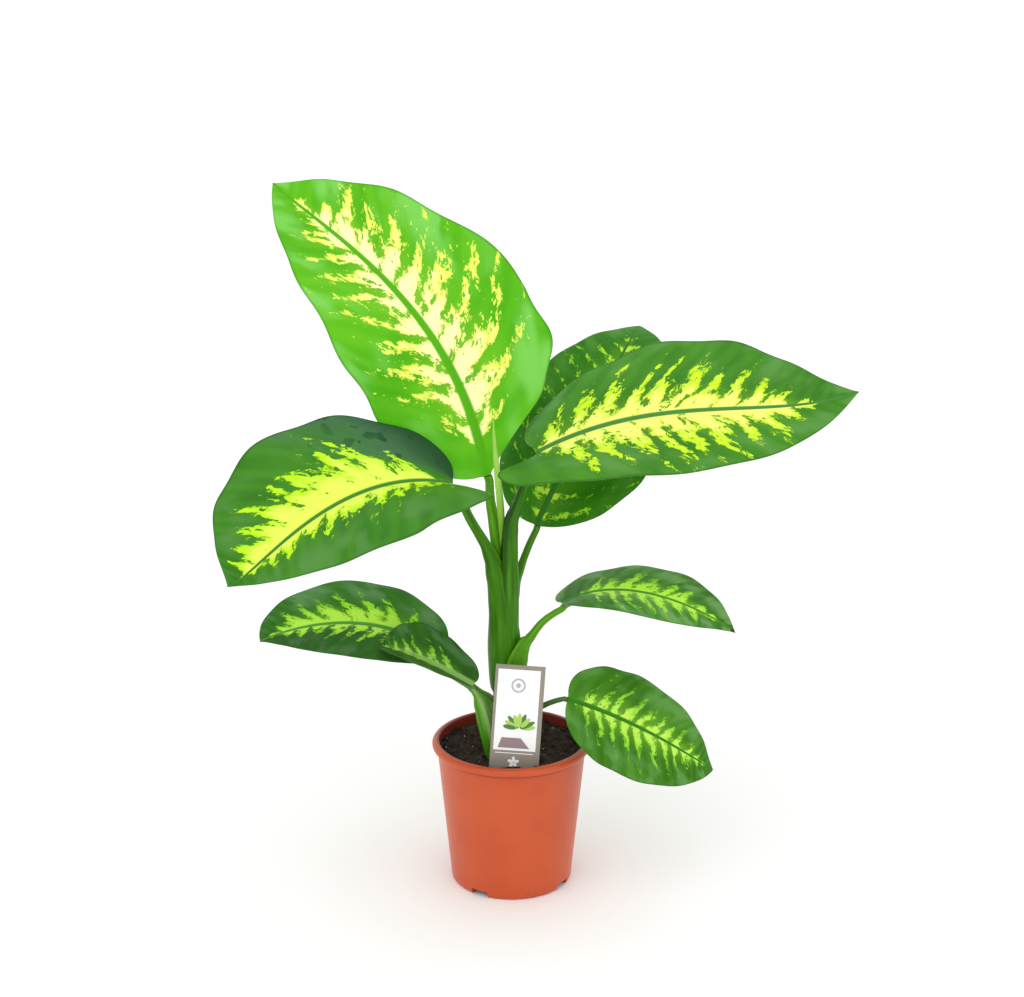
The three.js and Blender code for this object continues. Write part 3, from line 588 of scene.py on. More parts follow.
def blade_green_group():
    """The blade's green, lighter in patches and between the veins, with a painted sheen towards the margin.
    """
    nodes, given, result = new_group(
        "blade green", {"Place": VECTOR, "Object place": VECTOR, "Half": FLOAT, "Seed": FLOAT, "Band": FLOAT,
                        "Dark": COLOUR, "Light": COLOUR, "Sheen": COLOUR}, {"Green": COLOUR})
    vein, out, share = nodes.split(given["Place"])
    patches = nodes.ramp(nodes.noise(given["Object place"], scale=14.0), 0.30, 0.70)
    lightness = nodes.math("MULTIPLY_ADD", given["Band"], 0.30, nodes.times(patches, 0.65))
    green = nodes.mix(lightness, given["Dark"], given["Light"])
    # painted sheen: pale streaks of the sheen colour between the veins, towards the margin
    painted_sheen = nodes.stretched_noise(vein, 9.0, out, 2.2, nodes.math("ADD", given["Half"], given["Seed"]))
    painted_sheen = nodes.times(nodes.ramp(painted_sheen, 0.44, 0.64), nodes.ramp(share, 0.35, 0.80))
    nodes.put(result["Green"], nodes.tint(green, given["Sheen"], painted_sheen, 0.75))
    return nodes.tree


VARIEGATION = variegation_group()
VEIN_RELIEF = vein_relief_group()
BLADE_GREEN = blade_green_group()


def leaf_material(name, finish):
    material, nodes, shader = new_material(f"{name} leaf", Roughness=0.42, Specular_IOR_Level=0.09)
    place = nodes.attribute("leaf_place")
    half, under, rib = nodes.split(nodes.attribute("leaf_side"))
    vein, _, share = nodes.split(place)
    object_place = nodes.object_place()
    values = {value: finish[value.lower()] for value in STREAKS_OF_LEAF}
    for value in STREAKS_BY_HALF:
        values[f"{value} right"], values[f"{value} left"] = finish[value.lower()]
    streaks = use_group(nodes, VARIEGATION, Place=place, Half=half, **values)
    relief = use_group(nodes, VEIN_RELIEF, Place=place, Veins=finish["streaks"])
    green = use_group(nodes, BLADE_GREEN, Place=place, Object_place=object_place, Half=half,
                      Seed=finish["seed"], Band=relief["Band"], Dark=finish["dark"], Light=finish["light"],
                      Sheen=finish["sheen"])["Green"]
    # the right half's lobe: a painted blue-grey sheen with the leaf's dark spots, and painted shade that is
    # darkest where it turns down beside the stalk
    if finish["lobe"]:
        mottled = nodes.math("MULTIPLY_ADD", nodes.noise(object_place, scale=30.0, detail=3.0), 0.30, vein)
        lobe = nodes.times(nodes.ramp(mottled, 0.36, 0.18), nodes.ramp(share, 0.15, 0.50))
        lobe = nodes.times(nodes.times(lobe, half), finish["lobe"])
        green = nodes.mix(lobe, green, LOBE_PAINTED_SHEEN)
        spots = nodes.ramp(nodes.noise(object_place, scale=56.0, detail=1.5), 0.57, 0.63)
        # painted shade where the lobe turns down, laid on in the spots' colour
        painted_turn_shade = nodes.ramp(vein, 0.09, -0.04)
        green = nodes.tint(green, LOBE_SPOTS_AND_SHADE, nodes.math("MAXIMUM", spots, painted_turn_shade), lobe)
    # a glow of the streaks' colour between them, by the midrib
    green = nodes.tint(green, finish["streak"], streaks["Near"], finish["glow"])
    # painted shade: the left half is darkened, as strongly as dim
    left_half = nodes.math("SUBTRACT", 1.0, half)
    green = nodes.tint(green, scaled(finish["dark"], 0.45), left_half, finish["dim"])
    streak = nodes.mix(streaks["Heart"], finish["streak"], finish["heart"])
    face = nodes.mix(streaks["Streak"], green, streak)
    rib_share = nodes.ramp(rib, 0.75 * finish["rib_spread"], 1.30 * finish["rib_spread"], 1.0, 0.0)
    if finish["rib_fade"]:
        rib_share = nodes.times(rib_share, nodes.ramp(vein, *finish["rib_fade"], 1.0, 0.25))
    face = nodes.mix(rib_share, face, finish["rib"])
    face = nodes.tint(face, scaled(finish["dark"], 0.7), nodes.ramp(share, 0.965, 0.995), 0.45)
    dried = nodes.ramp(vein, finish["dry"], finish["dry"] + 0.013)
    face = nodes.mix(dried, face, DRIED_LEAF)

    pale = tuple(0.55 * a + 0.45 * b for a, b in zip(finish["light"], UNDERSIDE_GREY))
    under_face = nodes.tint(pale, finish["streak"], streaks["Streak"], 0.45)
    under_face = nodes.mix(rib_share, under_face, scaled(pale, 1.15))
    finish_shader(nodes, shader, nodes.mix(under, face, under_face), relief["Height"], 0.16, 0.0008)
    return material


# ---------- leaf blades ----------

def curve_point(points, t):
    """A point on the curve with these four control points."""
    s = 1 - t
    a, b, c, d = (Vector(p) for p in points)
    return a * s ** 3 + b * 3 * s * s * t + c * 3 * s * t * t + d * t ** 3


def curve_slope(points, t):
    s = 1 - t
    a, b, c, d = (Vector(p) for p in points)
    return (b - a) * 3 * s * s + (c - b) * 6 * s * t + (d - c) * 3 * t * t


def blade_frame(leaf, t):
    """Directions along, sideways and up from the blade at midrib share t."""
    along = curve_slope(leaf["midrib"], t).normalized()
    level = along.cross(Vector((0, 0, 1))).normalized()
    above = level.cross(along)
    roll = math.radians(mix(*leaf["roll"], clamp(t)))
    side = level * math.cos(roll) + above * math.sin(roll)
    up = above * math.cos(roll) - level * math.sin(roll)
    return along, side, up


def half_outline(leaf, half, r):
    """Midrib share and distance from the midrib of the margin, for r from the stalk (0) to the tip (1)."""
    width, belly = half["width"], half["belly"]
    point, point_width = leaf["point"]
    widest = (belly, width, 0)
    rear = [(0, leaf["stalk"], 0), (-half["lobe"], LOBE_BREADTH * width, 0), (SHOULDER * belly, width, 0),
            widest]
    front = [widest, (mix(belly, 1, 0.5), width, 0), (1 - point, point_width * width, 0), (1, 0, 0)]
    place = curve_point(rear, 2 * r) if r < 0.5 else curve_point(front, 2 * r - 1)
    return place.x, place.y


def blade_point(leaf, r, column, under):
    """A point of the blade and what its finish reads there. Column runs from -1 to 1 across the blade."""
    half = leaf["right"] if column > 0 else leaf["left"]
    sign = 1 if column > 0 else -1
    margin_share, margin_width = half_outline(leaf, half, r)
    rib_share = r ** VEIN_CROWDING
    rib_width = leaf["stalk"] * (1 - RIB_TAPER * rib_share)
    share = abs(column) ** COLUMN_CROWDING
    ripple = math.sin(2 * math.pi * RIPPLES * r ** RIPPLE_CROWDING + 2 * sign)
    ripple = math.sin(math.pi * r) * share ** 3 * ripple
    b = share * margin_width * (1 + RIPPLE_BREADTH * leaf["wave"] * ripple)
    t = mix(rib_share, margin_share, share)
    _, side, up = blade_frame(leaf, t)
    fold = math.radians(leaf["fold"])
    bend = math.radians(half["droop"]) / half["width"]
    out = (math.sin(fold) - math.sin(fold - bend * b)) / bend
    rise = (math.cos(fold - bend * b) - math.cos(fold)) / bend
    curl = half.get("curl", 0) * (min(t, 0) / 0.1) ** 2
    wave = share ** 2 * math.sin(math.pi * r) * math.sin(2 * math.pi * leaf["waves"] * r + sign)
    wave = leaf["wave"] * (wave + RIPPLE_HEIGHT * ripple)
    depth = RIB_GROOVE * (1 - RIB_GROOVE_TAPER * rib_share)
    depth *= math.exp(-(RIB_GROOVE_FALL * b / rib_width) ** 2)
    if under:
        rib_depth = (2 * leaf["stalk"] - LEAF_THICKNESS) * (1 - RIB_DEPTH_TAPER * rib_share) ** 1.5
        depth = LEAF_THICKNESS + rib_depth * math.sqrt(max(0.0, 1 - (b / rib_width) ** 2))
    place = curve_point(leaf["midrib"], t) + side * (sign * out) + up * (rise + curl + wave - depth)
    length = leaf["length"]
    lean = leaf.get("lean", 1) * b / length
    vein = (t - lean * (VEIN_LEAN + VEIN_CURVE * b / half["width"])) / (1 + VEIN_LEAN_GROWTH * lean)
    return place, (vein, b / half["width"], share), (0.5 + 0.5 * sign, float(under), b / rib_width)


def blade_length(leaf):
    steps = 40
    points = [curve_point(leaf["midrib"], i / steps) for i in range(steps + 1)]
    return sum((b - a).length for a, b in zip(points, points[1:]))


def blade_face(bm, leaf, under, layers):
    """One face of the blade: a grid moved onto the leaf's surface."""
    made = bmesh.ops.create_grid(bm, x_segments=LEAF_ROWS, y_segments=2 * LEAF_COLUMNS, size=1)["verts"]
    for vertex in made:
        r = clamp(0.5 + 0.5 * vertex.co.x)
        column = vertex.co.y
        vertex.co, vertex[layers[0]], vertex[layers[1]] = blade_point(leaf, r, column, under)
    faces = list(dict.fromkeys(face for vertex in made for face in vertex.link_faces))
    if under:
        bmesh.ops.reverse_faces(bm, faces=faces)
    return list(dict.fromkeys(edge for face in faces for edge in face.edges if edge.is_boundary))


def make_blade(name):
    leaf = LEAVES[name]
    leaf["length"] = blade_length(leaf)
    bm = bmesh.new()
    layers = [bm.verts.layers.float_vector.new(layer) for layer in ("leaf_place", "leaf_side")]
    rims = blade_face(bm, leaf, False, layers) + blade_face(bm, leaf, True, layers)
    bmesh.ops.bridge_loops(bm, edges=rims)
    bmesh.ops.remove_doubles(bm, verts=bm.verts, dist=0.00002)
    bmesh.ops.recalc_face_normals(bm, faces=bm.faces)
    slot = "young_blade" if name == "top" else "blade"
    piece_from(bm, f"leaf_{name}", slot, leaf_material(name, FINISHES[name]), stands_for=[f"blade_{name}"])


# ---------- stalks, cane and new leaf ----------

def route_point(points, t):
    """A point and a radius on the smooth line through (x, y, z, radius) points. It is timed by the square
    roots of their distances, so it makes no loops where they are close together."""
    place = t * (len(points) - 1)
    i = min(int(place), len(points) - 2)
    share = place - i
    known = [Vector(p[:3]) for p in points]
    known = [2 * known[0] - known[1], *known, 2 * known[-1] - known[-2]]
    p0, p1, p2, p3 = known[i:i + 4]
    d0, d1, d2 = (math.sqrt((b - a).length) for a, b in ((p0, p1), (p1, p2), (p2, p3)))
    start = ((p1 - p0) / d0 - (p2 - p0) / (d0 + d1) + (p2 - p1) / d1) * d1
    end = ((p2 - p1) / d1 - (p3 - p1) / (d1 + d2) + (p3 - p2) / d2) * d1
    a = 2 * p1 - 2 * p2 + start + end
    b = -3 * p1 + 3 * p2 - 2 * start - end
    radius = mix(points[i][3], points[i + 1][3], smooth(share))
    return a * share ** 3 + b * share ** 2 + start * share + p1, radius


def tube(points, last_up, steps, sides, section):
    """A closed tube through the points. section(angle, t, z) scales the radius; angle 0 looks along last_up
    at the upper end, and that direction is carried down without twist."""
    bm = bmesh.new()
    layer = bm.verts.layers.float_vector.new("stalk_place")
    rings = []
    up = last_up
    for i in range(steps, -1, -1):
        t = i / steps
        centre, radius = route_point(points, t)
        behind, ahead = (route_point(points, clamp(t + shift / steps))[0] for shift in (-0.5, 0.5))
        along = (ahead - behind).normalized()
        up = (up - along * up.dot(along)).normalized()
        rings.append((t, centre, radius, up, along.cross(up)))
    rings.reverse()
    centres = []
    for i in range(steps + 1):
        window = min(i, steps - i, CENTRE_SMOOTHING)
        near = [ring[1] for ring in rings[i - window:i + window + 1]]
        centres.append(sum(near, Vector()) / len(near))
    loop = bmesh.ops.create_circle(bm, segments=sides, radius=1)["verts"]
    angles = [math.atan2(vertex.co.y, vertex.co.x) for vertex in loop]
    bmesh.ops.contextual_create(bm, geom=loop)
    travelled = 0.0
    for k, ((t, _, radius, up, side), centre) in enumerate(zip(rings, centres)):
        if k:
            edges = dict.fromkeys(edge for vertex in loop for edge in vertex.link_edges)
            edges = [edge for edge in edges if edge.verts[0] in loop and edge.verts[1] in loop]
            fresh = set(bmesh.ops.extrude_edge_only(bm, edges=edges)["geom"])
            loop = [next(edge.other_vert(vertex) for edge in vertex.link_edges
                         if edge.other_vert(vertex) in fresh) for vertex in loop]
            travelled += (centre - centres[k - 1]).length
        for vertex, angle in zip(loop, angles):
            r = radius * section(angle, t, centre.z)
            vertex.co = centre + up * (r * math.cos(angle)) + side * (r * math.sin(angle))
            vertex[layer] = (abs(angle) / math.pi, t, travelled)
    bmesh.ops.contextual_create(bm, geom=loop)
    bmesh.ops.recalc_face_normals(bm, faces=bm.faces)
    return bm


def stalk_route(name):
    leaf = LEAVES[name]
    along, _, up = blade_frame(leaf, 0)
    radius = leaf["stalk"]
    end = Vector(leaf["midrib"][0]) - up * radius
    behind, below = LAST_STRETCH
    before = end - along * behind * radius - up * below * radius
    return [*STALKS[name], (*before, radius), (*end, radius)], up


def fibres_group():
    """Fine lines along a stem, and broad bands."""
    nodes, given, result = new_group(
        "fibres", {"Place": VECTOR, "Across": FLOAT, "Along": FLOAT, "Roughness": FLOAT},
        {"Lines": FLOAT, "Bands": FLOAT})
    around, _, run = nodes.split(given["Place"])
    lines = nodes.stretched_noise(around, given["Across"], run, given["Along"], detail=3.0,
                                  roughness=given["Roughness"])
    nodes.put(result["Lines"], lines)
    nodes.put(result["Bands"], nodes.stretched_noise(around, 5.0, run, 15.0, detail=1.0))
    return nodes.tree


def sheath_group():
    """Fibres over a stalk's colour, pale edges beside its dark channel, and a brown edge round its foot."""
    nodes, given, result = new_group(
        "sheath", {"Place": VECTOR, "Lines": FLOAT, "Bands": FLOAT, "Edges": FLOAT, "Colour": COLOUR,
                   "Pale": COLOUR, "Deep": COLOUR}, {"Colour": COLOUR})
    around, _, run = nodes.split(given["Place"])
    pale, deep = given["Pale"], given["Deep"]
    colour = nodes.tint(given["Colour"], pale, nodes.ramp(given["Lines"], 0.50, 0.75), 0.35)
    colour = nodes.tint(colour, deep, nodes.ramp(given["Lines"], 0.45, 0.25), 0.35)
    colour = nodes.tint(colour, pale, nodes.ramp(given["Bands"], 0.52, 0.66), 0.45)
    colour = nodes.tint(colour, deep, nodes.ramp(given["Bands"], 0.48, 0.34), 0.60)
    edge = nodes.times(nodes.ramp(around, 0.30, 0.17), nodes.ramp(around, 0.06, 0.12))
    colour = nodes.tint(colour, pale, edge, nodes.times(given["Edges"], 0.7))
    colour = nodes.tint(colour, deep, nodes.ramp(around, 0.13, 0.02), nodes.times(given["Edges"], 0.35))
    foot = nodes.ramp(run, 0.0006, 0.0030, 0.75, 0.0)
    nodes.put(result["Colour"], nodes.mix(foot, colour, SHEATH_FOOT))
    return nodes.tree


FIBRES = fibres_group()
SHEATH = sheath_group()


def stalk_material(name, finish):
    material, nodes, shader = new_material(f"{name} stalk", Roughness=0.42, Specular_IOR_Level=0.14)
    place = nodes.attribute("stalk_place")
    around, share, _ = nodes.split(place)
    fibres = use_group(nodes, FIBRES, Place=place, Across=34.0, Along=26.0, Roughness=0.6)
    colour = nodes.mix(nodes.ramp(share, 0.35, 0.95), finish["low"], finish["high"])
    colour = use_group(nodes, SHEATH, Place=place, Lines=fibres["Lines"], Bands=fibres["Bands"],
                       Edges=min(1.0, 3 * finish["wing"]), Colour=colour,
                       Pale=tuple(clamp(1.7 * c + 0.02) for c in finish["low"]),
                       Deep=scaled(finish["low"], 0.55))["Colour"]
    # the sheath's inner side: a painted shade on the right stalk, its own pale green on the front left one
    if "inner" in finish:
        inner = nodes.times(nodes.ramp(around, 0.44, 0.30), nodes.ramp(share, 0.10, 0.45))
        colour = nodes.tint(colour, finish["inner"], inner, 0.85)
    finish_shader(nodes, shader, colour, fibres["Lines"], 0.25, 0.0006)
    return material


def make_stalk(name):
    finish = STALK_FINISHES[name]
    route, up = stalk_route(name)
    first, last = finish.get("wing_end", USUAL_WING_END)

    def section(angle, t, z):
        # two raised edges beside a channel on the inner side, fading out towards the blade
        strength = finish["wing"] * (1 - smooth((t - first) / (last - first)))
        turn = abs(angle) / math.pi
        edge = math.exp(-((turn - SHEATH_EDGE) / SHEATH_EDGE_WIDTH) ** 2)
        channel = math.exp(-(turn / CHANNEL_WIDTH) ** 2)
        # the foot of the sheath closes in on the cane
        foot = mix(FOOT_RADIUS, 1, math.sqrt(1 - (1 - clamp(t / FOOT_LENGTH)) ** 2))
        return foot * (1 + strength * edge - CHANNEL_DEPTH * strength * channel)

    bm = tube(route, up, steps=10 * (len(route) - 1), sides=44, section=section)
    piece_from(bm, f"petiole_{name}", "stalk", stalk_material(name, finish), stands_for=[f"stalk_{name}"])


def cane_material():
    material, nodes, shader = new_material("cane", Roughness=0.55, Specular_IOR_Level=0.3)
    place = nodes.object_place()
    _, _, z = nodes.split(place)
    lines = use_group(nodes, FIBRES, Place=nodes.attribute("stalk_place"), Across=20.0, Along=60.0,
                      Roughness=0.5)["Lines"]
    colour = nodes.mix(nodes.ramp(lines, 0.35, 0.65), *CANE_GREENS)
    spots = nodes.ramp(nodes.noise(place, scale=420.0), 0.58, 0.66)
    colour = nodes.tint(colour, CANE_SPOTS, spots, 0.5)
    for node in CANE_NODES:
        scar = nodes.ramp(nodes.math("ABSOLUTE", nodes.math("SUBTRACT", z, node)), 0.0005, 0.0018, 0.8, 0.0)
        colour = nodes.mix(scar, colour, CANE_SCARS)
    finish_shader(nodes, shader, colour, lines, 0.4, 0.0008)
    return material


def make_cane():
    def section(angle, t, z):
        rings = sum(math.exp(-((z - node) / CANE_RING_SPREAD) ** 2) for node in CANE_NODES)
        return 1 + CANE_RING_RISE / CANE[1][3] * rings

    bm = tube(CANE, Vector((0, -1, 0)), steps=120, sides=48, section=section)
    piece_from(bm, "cane_finish", "cane", cane_material(), stands_for=["cane"])


def new_leaf_material():
    material, nodes, shader = new_material("rolled leaf", Roughness=0.38, Specular_IOR_Level=0.15)
    place = nodes.attribute("stalk_place")
    _, share, _ = nodes.split(place)
    lines = use_group(nodes, FIBRES, Place=place, Across=16.0, Along=40.0, Roughness=0.6)["Lines"]
    colour = nodes.mix(nodes.ramp(share, 0.2, 0.8), *NEW_LEAF_GREENS)
    colour = nodes.tint(colour, NEW_LEAF_FIBRES, nodes.ramp(lines, 0.45, 0.60), 0.7)
    finish_shader(nodes, shader, colour, lines, 0.3, 0.0005)
    return material


def make_new_leaf():
    def section(angle, t, z):
        # the outer edge of the roll winds slowly round it as a small step
        turn = ((angle + ROLL_WIND * t) / (2 * math.pi)) % 1
        return ROLL_FULLNESS - ROLL_STEP * turn

    bm = tube(NEW_LEAF, Vector((0, -1, 0)), steps=90, sides=48, section=section)
    piece_from(bm, "rolled_leaf", "new_leaf", new_leaf_material(), stands_for=["new_leaf"])


# ---------- pot and soil ----------

def turned(profile, sides):
    """A surface of revolution about Z from (radius, height) points."""
    bm = bmesh.new()
    line = [bm.verts.new((radius, 0, height)) for radius, height in profile]
    edges = [bm.edges.new(pair) for pair in zip(line, line[1:])]
    bmesh.ops.spin(bm, geom=line + edges, axis=(0, 0, 1), cent=(0, 0, 0), steps=sides,
                   angle=2 * math.pi, use_merge=True)
    bmesh.ops.remove_doubles(bm, verts=bm.verts, dist=0.00001)
    bmesh.ops.recalc_face_normals(bm, faces=bm.faces)
    return bm


def arc(centre_r, centre_z, radius, start, end, steps, flat=1):
    """(radius, height) points on an arc whose height is flattened to this share. The angles are in degrees,
    0 pointing outward and 90 up."""
    angles = [math.radians(mix(start, end, i / steps)) for i in range(steps + 1)]
    return [(centre_r + radius * math.cos(a), centre_z + flat * radius * math.sin(a)) for a in angles]


def pot_material():
    material, nodes, shader = new_material("terracotta plastic", Roughness=0.36, Specular_IOR_Level=0.42)
    place = nodes.object_place()
    x, y, z = nodes.split(place)
    cloud = nodes.noise(place, scale=18.0, detail=3.0)
    colour = nodes.mix(nodes.ramp(cloud, 0.35, 0.65), *POT_ORANGES)
    # painted shade on the pot's inside: inside is what lies behind the middle of the sloping wall
    from_axis = nodes.add("ShaderNodeVectorMath", {"operation": "LENGTH"}, Vector=nodes.vector(x, y))
    middle = nodes.math("MULTIPLY_ADD", z, WALL_MIDDLE_SLOPE, WALL_MIDDLE_FOOT)
    behind = nodes.ramp(nodes.math("SUBTRACT", from_axis.outputs["Value"], middle), 0.0002, -0.0002)
    colour = nodes.mix(nodes.times(behind, nodes.ramp(z, 0.02, 0.03)), colour, POT_INSIDE_SHADE)
    # painted shadow: a deeper line in the corner under the rolled lip
    painted_lip_shadow = nodes.times(nodes.ramp(z, 0.1467, 0.1500), nodes.ramp(z, 0.1524, 0.1514))
    colour = nodes.tint(colour, POT_LIP_SHADOW, painted_lip_shadow, 0.7)
    # grime near the ground
    grime = nodes.ramp(nodes.noise(place, scale=90.0, detail=4.0, roughness=0.65), 0.55, 0.72)
    low = nodes.times(nodes.ramp(z, 0.012, 0.0), 0.35)
    colour = nodes.tint(colour, POT_GRIME, low, grime)
    fine = nodes.noise(place, scale=900.0)
    nodes.put(shader.inputs["Roughness"], nodes.ramp(fine, 0.3, 0.7, 0.31, 0.40))
    finish_shader(nodes, shader, colour, fine, 0.08, 0.0003)
    return material


def drain_cutter():
    bm = bmesh.new()
    for i in range(DRAIN_COUNT):
        turn = Matrix.Rotation(DRAIN_FIRST + i * 2 * math.pi / DRAIN_COUNT, 4, "Z")
        shape = Matrix.Diagonal((DRAIN_LENGTH, DRAIN_WIDTH, 2 * DRAIN_HEIGHT, 1))
        bmesh.ops.create_cube(bm, size=1, matrix=turn @ Matrix.Translation((DRAIN_PLACE, 0, 0)) @ shape)
    mesh = bpy.data.meshes.new("drain cutter")
    bm.to_mesh(mesh)
    bm.free()
    cutter = bpy.data.objects.new("drain_cutter", mesh)
    bpy.context.scene.collection.objects.link(cutter)
    return cutter


def make_pot():
    _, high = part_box("pot")
    top, rim = high.z, high.x
    ring_top = POT_RING_RISE + POT_FLOOR
    lip_centre = POT_LIP_FLAT * POT_LIP
    outside = [(0, 0), (POT_RING_IN, 0), (POT_RING_IN + POT_RING_SLOPE, POT_RING_RISE),
               (POT_RING_OUT - POT_RING_SLOPE, POT_RING_RISE), (POT_RING_OUT, 0),
               *arc(POT_BODY_BASE - POT_CORNER, POT_CORNER, POT_CORNER, -90, 0, 6),
               POT_BODY_MIDDLE, *((POT_BODY_TOP + past, top - below) for past, below in POT_NECK),
               *arc(rim - POT_LIP, top - lip_centre - POT_LIP_BAND, POT_LIP, -62, 0, 6, POT_LIP_FLAT),
               *arc(rim - POT_LIP, top - lip_centre, POT_LIP, 0, 90, 8, POT_LIP_FLAT),
               *arc(rim - POT_LIP, top - POT_LIP_EDGE, POT_LIP_EDGE, 90, 180, 4)]
    inside = [(POT_BODY_TOP - POT_WALL, POT_WALL_TOP), (POT_BODY_BASE - POT_WALL, POT_FILLET_HIGH),
              (POT_BODY_BASE - POT_FILLET_IN, POT_FLOOR), (POT_RING_OUT + POT_RING_TOP_MARGIN, POT_FLOOR),
              (POT_RING_OUT - POT_RING_TOP_SLOPE, ring_top), (POT_RING_IN + POT_RING_TOP_SLOPE, ring_top),
              (POT_RING_IN, POT_FLOOR), (0, POT_FLOOR)]
    bm = turned(outside + inside, POT_SIDES)
    pot = piece_from(bm, "nursery_pot", "pot_plastic", pot_material(), stands_for=["pot"])
    cutter = drain_cutter()
    cut = pot.modifiers.new("drain holes", "BOOLEAN")
    cut.object = cutter
    cut.operation = "DIFFERENCE"
    bpy.context.view_layer.update()
    solid = bpy.data.meshes.new_from_object(pot.evaluated_get(bpy.context.evaluated_depsgraph_get()))
    pot.modifiers.clear()
    pot.data = solid
    bpy.data.objects.remove(cutter)
    for polygon in solid.polygons:
        polygon.use_smooth = True
    solid.set_sharp_from_angle(angle=math.radians(38))


def soil_height(x, y):
    waves = (math.sin(110 * x + 0.9) * math.cos(130 * y) + 0.6 * math.sin(230 * x + 190 * y)
             + 0.5 * math.cos(310 * x - 270 * y + 1.3))
    lumps = noise.fractal(Vector((x, y, 0)) * SOIL_LUMPS, 0.7, 2.1, 4)
    return SOIL_LEVEL + SOIL_WAVE * waves + SOIL_LUMP * lumps


def peat_group():
    """Dark grains with paler clods among them."""
    nodes, given, result = new_group("peat", {"Place": VECTOR}, {"Colour": COLOUR, "Height": FLOAT})
    grain = nodes.noise(given["Place"], scale=520.0, detail=5.0, roughness=0.7)
    clods = nodes.noise(given["Place"], scale=110.0, detail=3.0)
    colour = nodes.mix(nodes.ramp(grain, 0.35, 0.70), *PEAT_BROWNS)
    nodes.put(result["Colour"], nodes.tint(colour, PEAT_CLODS, nodes.ramp(clods, 0.5, 0.7), 0.6))
    nodes.put(result["Height"], nodes.math("MULTIPLY_ADD", clods, 0.6, grain))
    return nodes.tree


PEAT = peat_group()


def soil_material():
    material, nodes, shader = new_material("potting soil", Roughness=0.95, Specular_IOR_Level=0.15)
    peat = use_group(nodes, PEAT, Place=nodes.object_place())
    finish_shader(nodes, shader, peat["Colour"], peat["Height"], 0.9, 0.0015)
    return material


def speck_material():
    material, nodes, shader = new_material("perlite", Roughness=0.85)
    grain = nodes.noise(nodes.object_place(), scale=700.0, detail=3.0)
    nodes.put(shader.inputs["Base Color"], nodes.mix(grain, *PERLITE_TONES))
    return material


def make_soil():
    _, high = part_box("soil")
    edge = high.x
    surface = [(edge * (1 - i / SOIL_RINGS), SOIL_LEVEL) for i in range(SOIL_RINGS + 1)]
    bm = turned([*SOIL_BASE, *surface], SOIL_SIDES)
    for vertex in bm.verts:
        if vertex.co.z > SOIL_LEVEL - 0.001:
            # lumpy, and a little lower along the pot's wall
            share = math.hypot(vertex.co.x, vertex.co.y) / edge
            dip = SOIL_DIP * smooth((share - SOIL_DIP_START) / SOIL_DIP_WIDTH)
            vertex.co.z = soil_height(vertex.co.x, vertex.co.y) - dip
    piece_from(bm, "potting_soil", "soil", soil_material(), stands_for=["soil"])


def scatter(bm, rng, count, sizes, reach):
    """Lumps of irregular shape, half sunk in the soil."""
    for _ in range(count):
        distance, turn = reach * math.sqrt(rng.random()), rng.uniform(0, 2 * math.pi)
        x, y = distance * math.cos(turn), distance * math.sin(turn)
        size = mix(*sizes, rng.random() ** 2)
        turned_by = Matrix.Rotation(rng.uniform(0, 6.28), 4, Vector((rng.random(), rng.random(), 0.5)))
        shape = Matrix.Diagonal((size * rng.uniform(0.7, 1.5), size * rng.uniform(0.7, 1.2), size * 0.8, 1))
        place = Matrix.Translation((x, y, soil_height(x, y) - CRUMB_SINK))
        made = bmesh.ops.create_icosphere(bm, subdivisions=1, radius=1, matrix=place @ turned_by @ shape)
        for vertex in made["verts"]:
            shift = Vector((rng.uniform(-1, 1), rng.uniform(-1, 1), rng.uniform(-1, 1)))
            vertex.co += shift * CRUMB_ROUGHNESS * size


def make_crumbs():
    rng = random.Random(CRUMB_SEED)
    _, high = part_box("soil")
    for name, count, sizes, material in (("soil_crumbs", CRUMBS, CRUMB_SIZES, soil_material),
                                         ("soil_specks", SPECKS, SPECK_SIZES, speck_material)):
        bm = bmesh.new()
        scatter(bm, rng, count, sizes, high.x - CRUMB_MARGIN)
        piece_from(bm, name, "soil", material(), flat=True)


# ---------- label ----------

LABEL_PLACE = (Matrix.Translation(LABEL_TOP) @ Matrix.Rotation(-LABEL_LEAN, 4, "X")
               @ Matrix.Rotation(LABEL_TILT, 4, "Y"))


def card_grain_group():
    """A colour with a faint grain."""
    nodes, given, result = new_group("card grain", {"Place": VECTOR, "Colour": COLOUR},
                                     {"Colour": COLOUR, "Height": FLOAT})
    grain = nodes.noise(given["Place"], scale=800.0, detail=3.0)
    darker = nodes.mix(0.93, (0, 0, 0), given["Colour"])
    nodes.put(result["Colour"], nodes.mix(nodes.ramp(grain, 0.35, 0.65), darker, given["Colour"]))
    nodes.put(result["Height"], grain)
    return nodes.tree


CARD_GRAIN = card_grain_group()


def card_material(name, colour, roughness):
    """Card stock or ink."""
    material, nodes, shader = new_material(name, Roughness=roughness)
    grain = use_group(nodes, CARD_GRAIN, Place=nodes.object_place(), Colour=colour)
    finish_shader(nodes, shader, grain["Colour"], grain["Height"], 0.05, 0.0002)
    return material


def plate(bm, outline, front, thickness, material=0):
    """A flat plate in the card's plane (x across, z up), its front at depth front towards the viewer."""
    face = bm.faces.new([bm.verts.new((x, front, z)) for x, z in outline])
    face.material_index = material
    walls = bmesh.ops.extrude_face_region(bm, geom=[face])["geom"]
    for vertex in (g for g in walls if isinstance(g, bmesh.types.BMVert)):
        vertex.co.y += thickness


def label_piece(bm, name, *materials, **settings):
    """Puts plates drawn in the card's plane where the label stands, as a piece."""
    bmesh.ops.recalc_face_normals(bm, faces=bm.faces)
    bmesh.ops.transform(bm, matrix=LABEL_PLACE, verts=bm.verts)
    piece_from(bm, name, "label_card", *materials, flat=True, **settings)


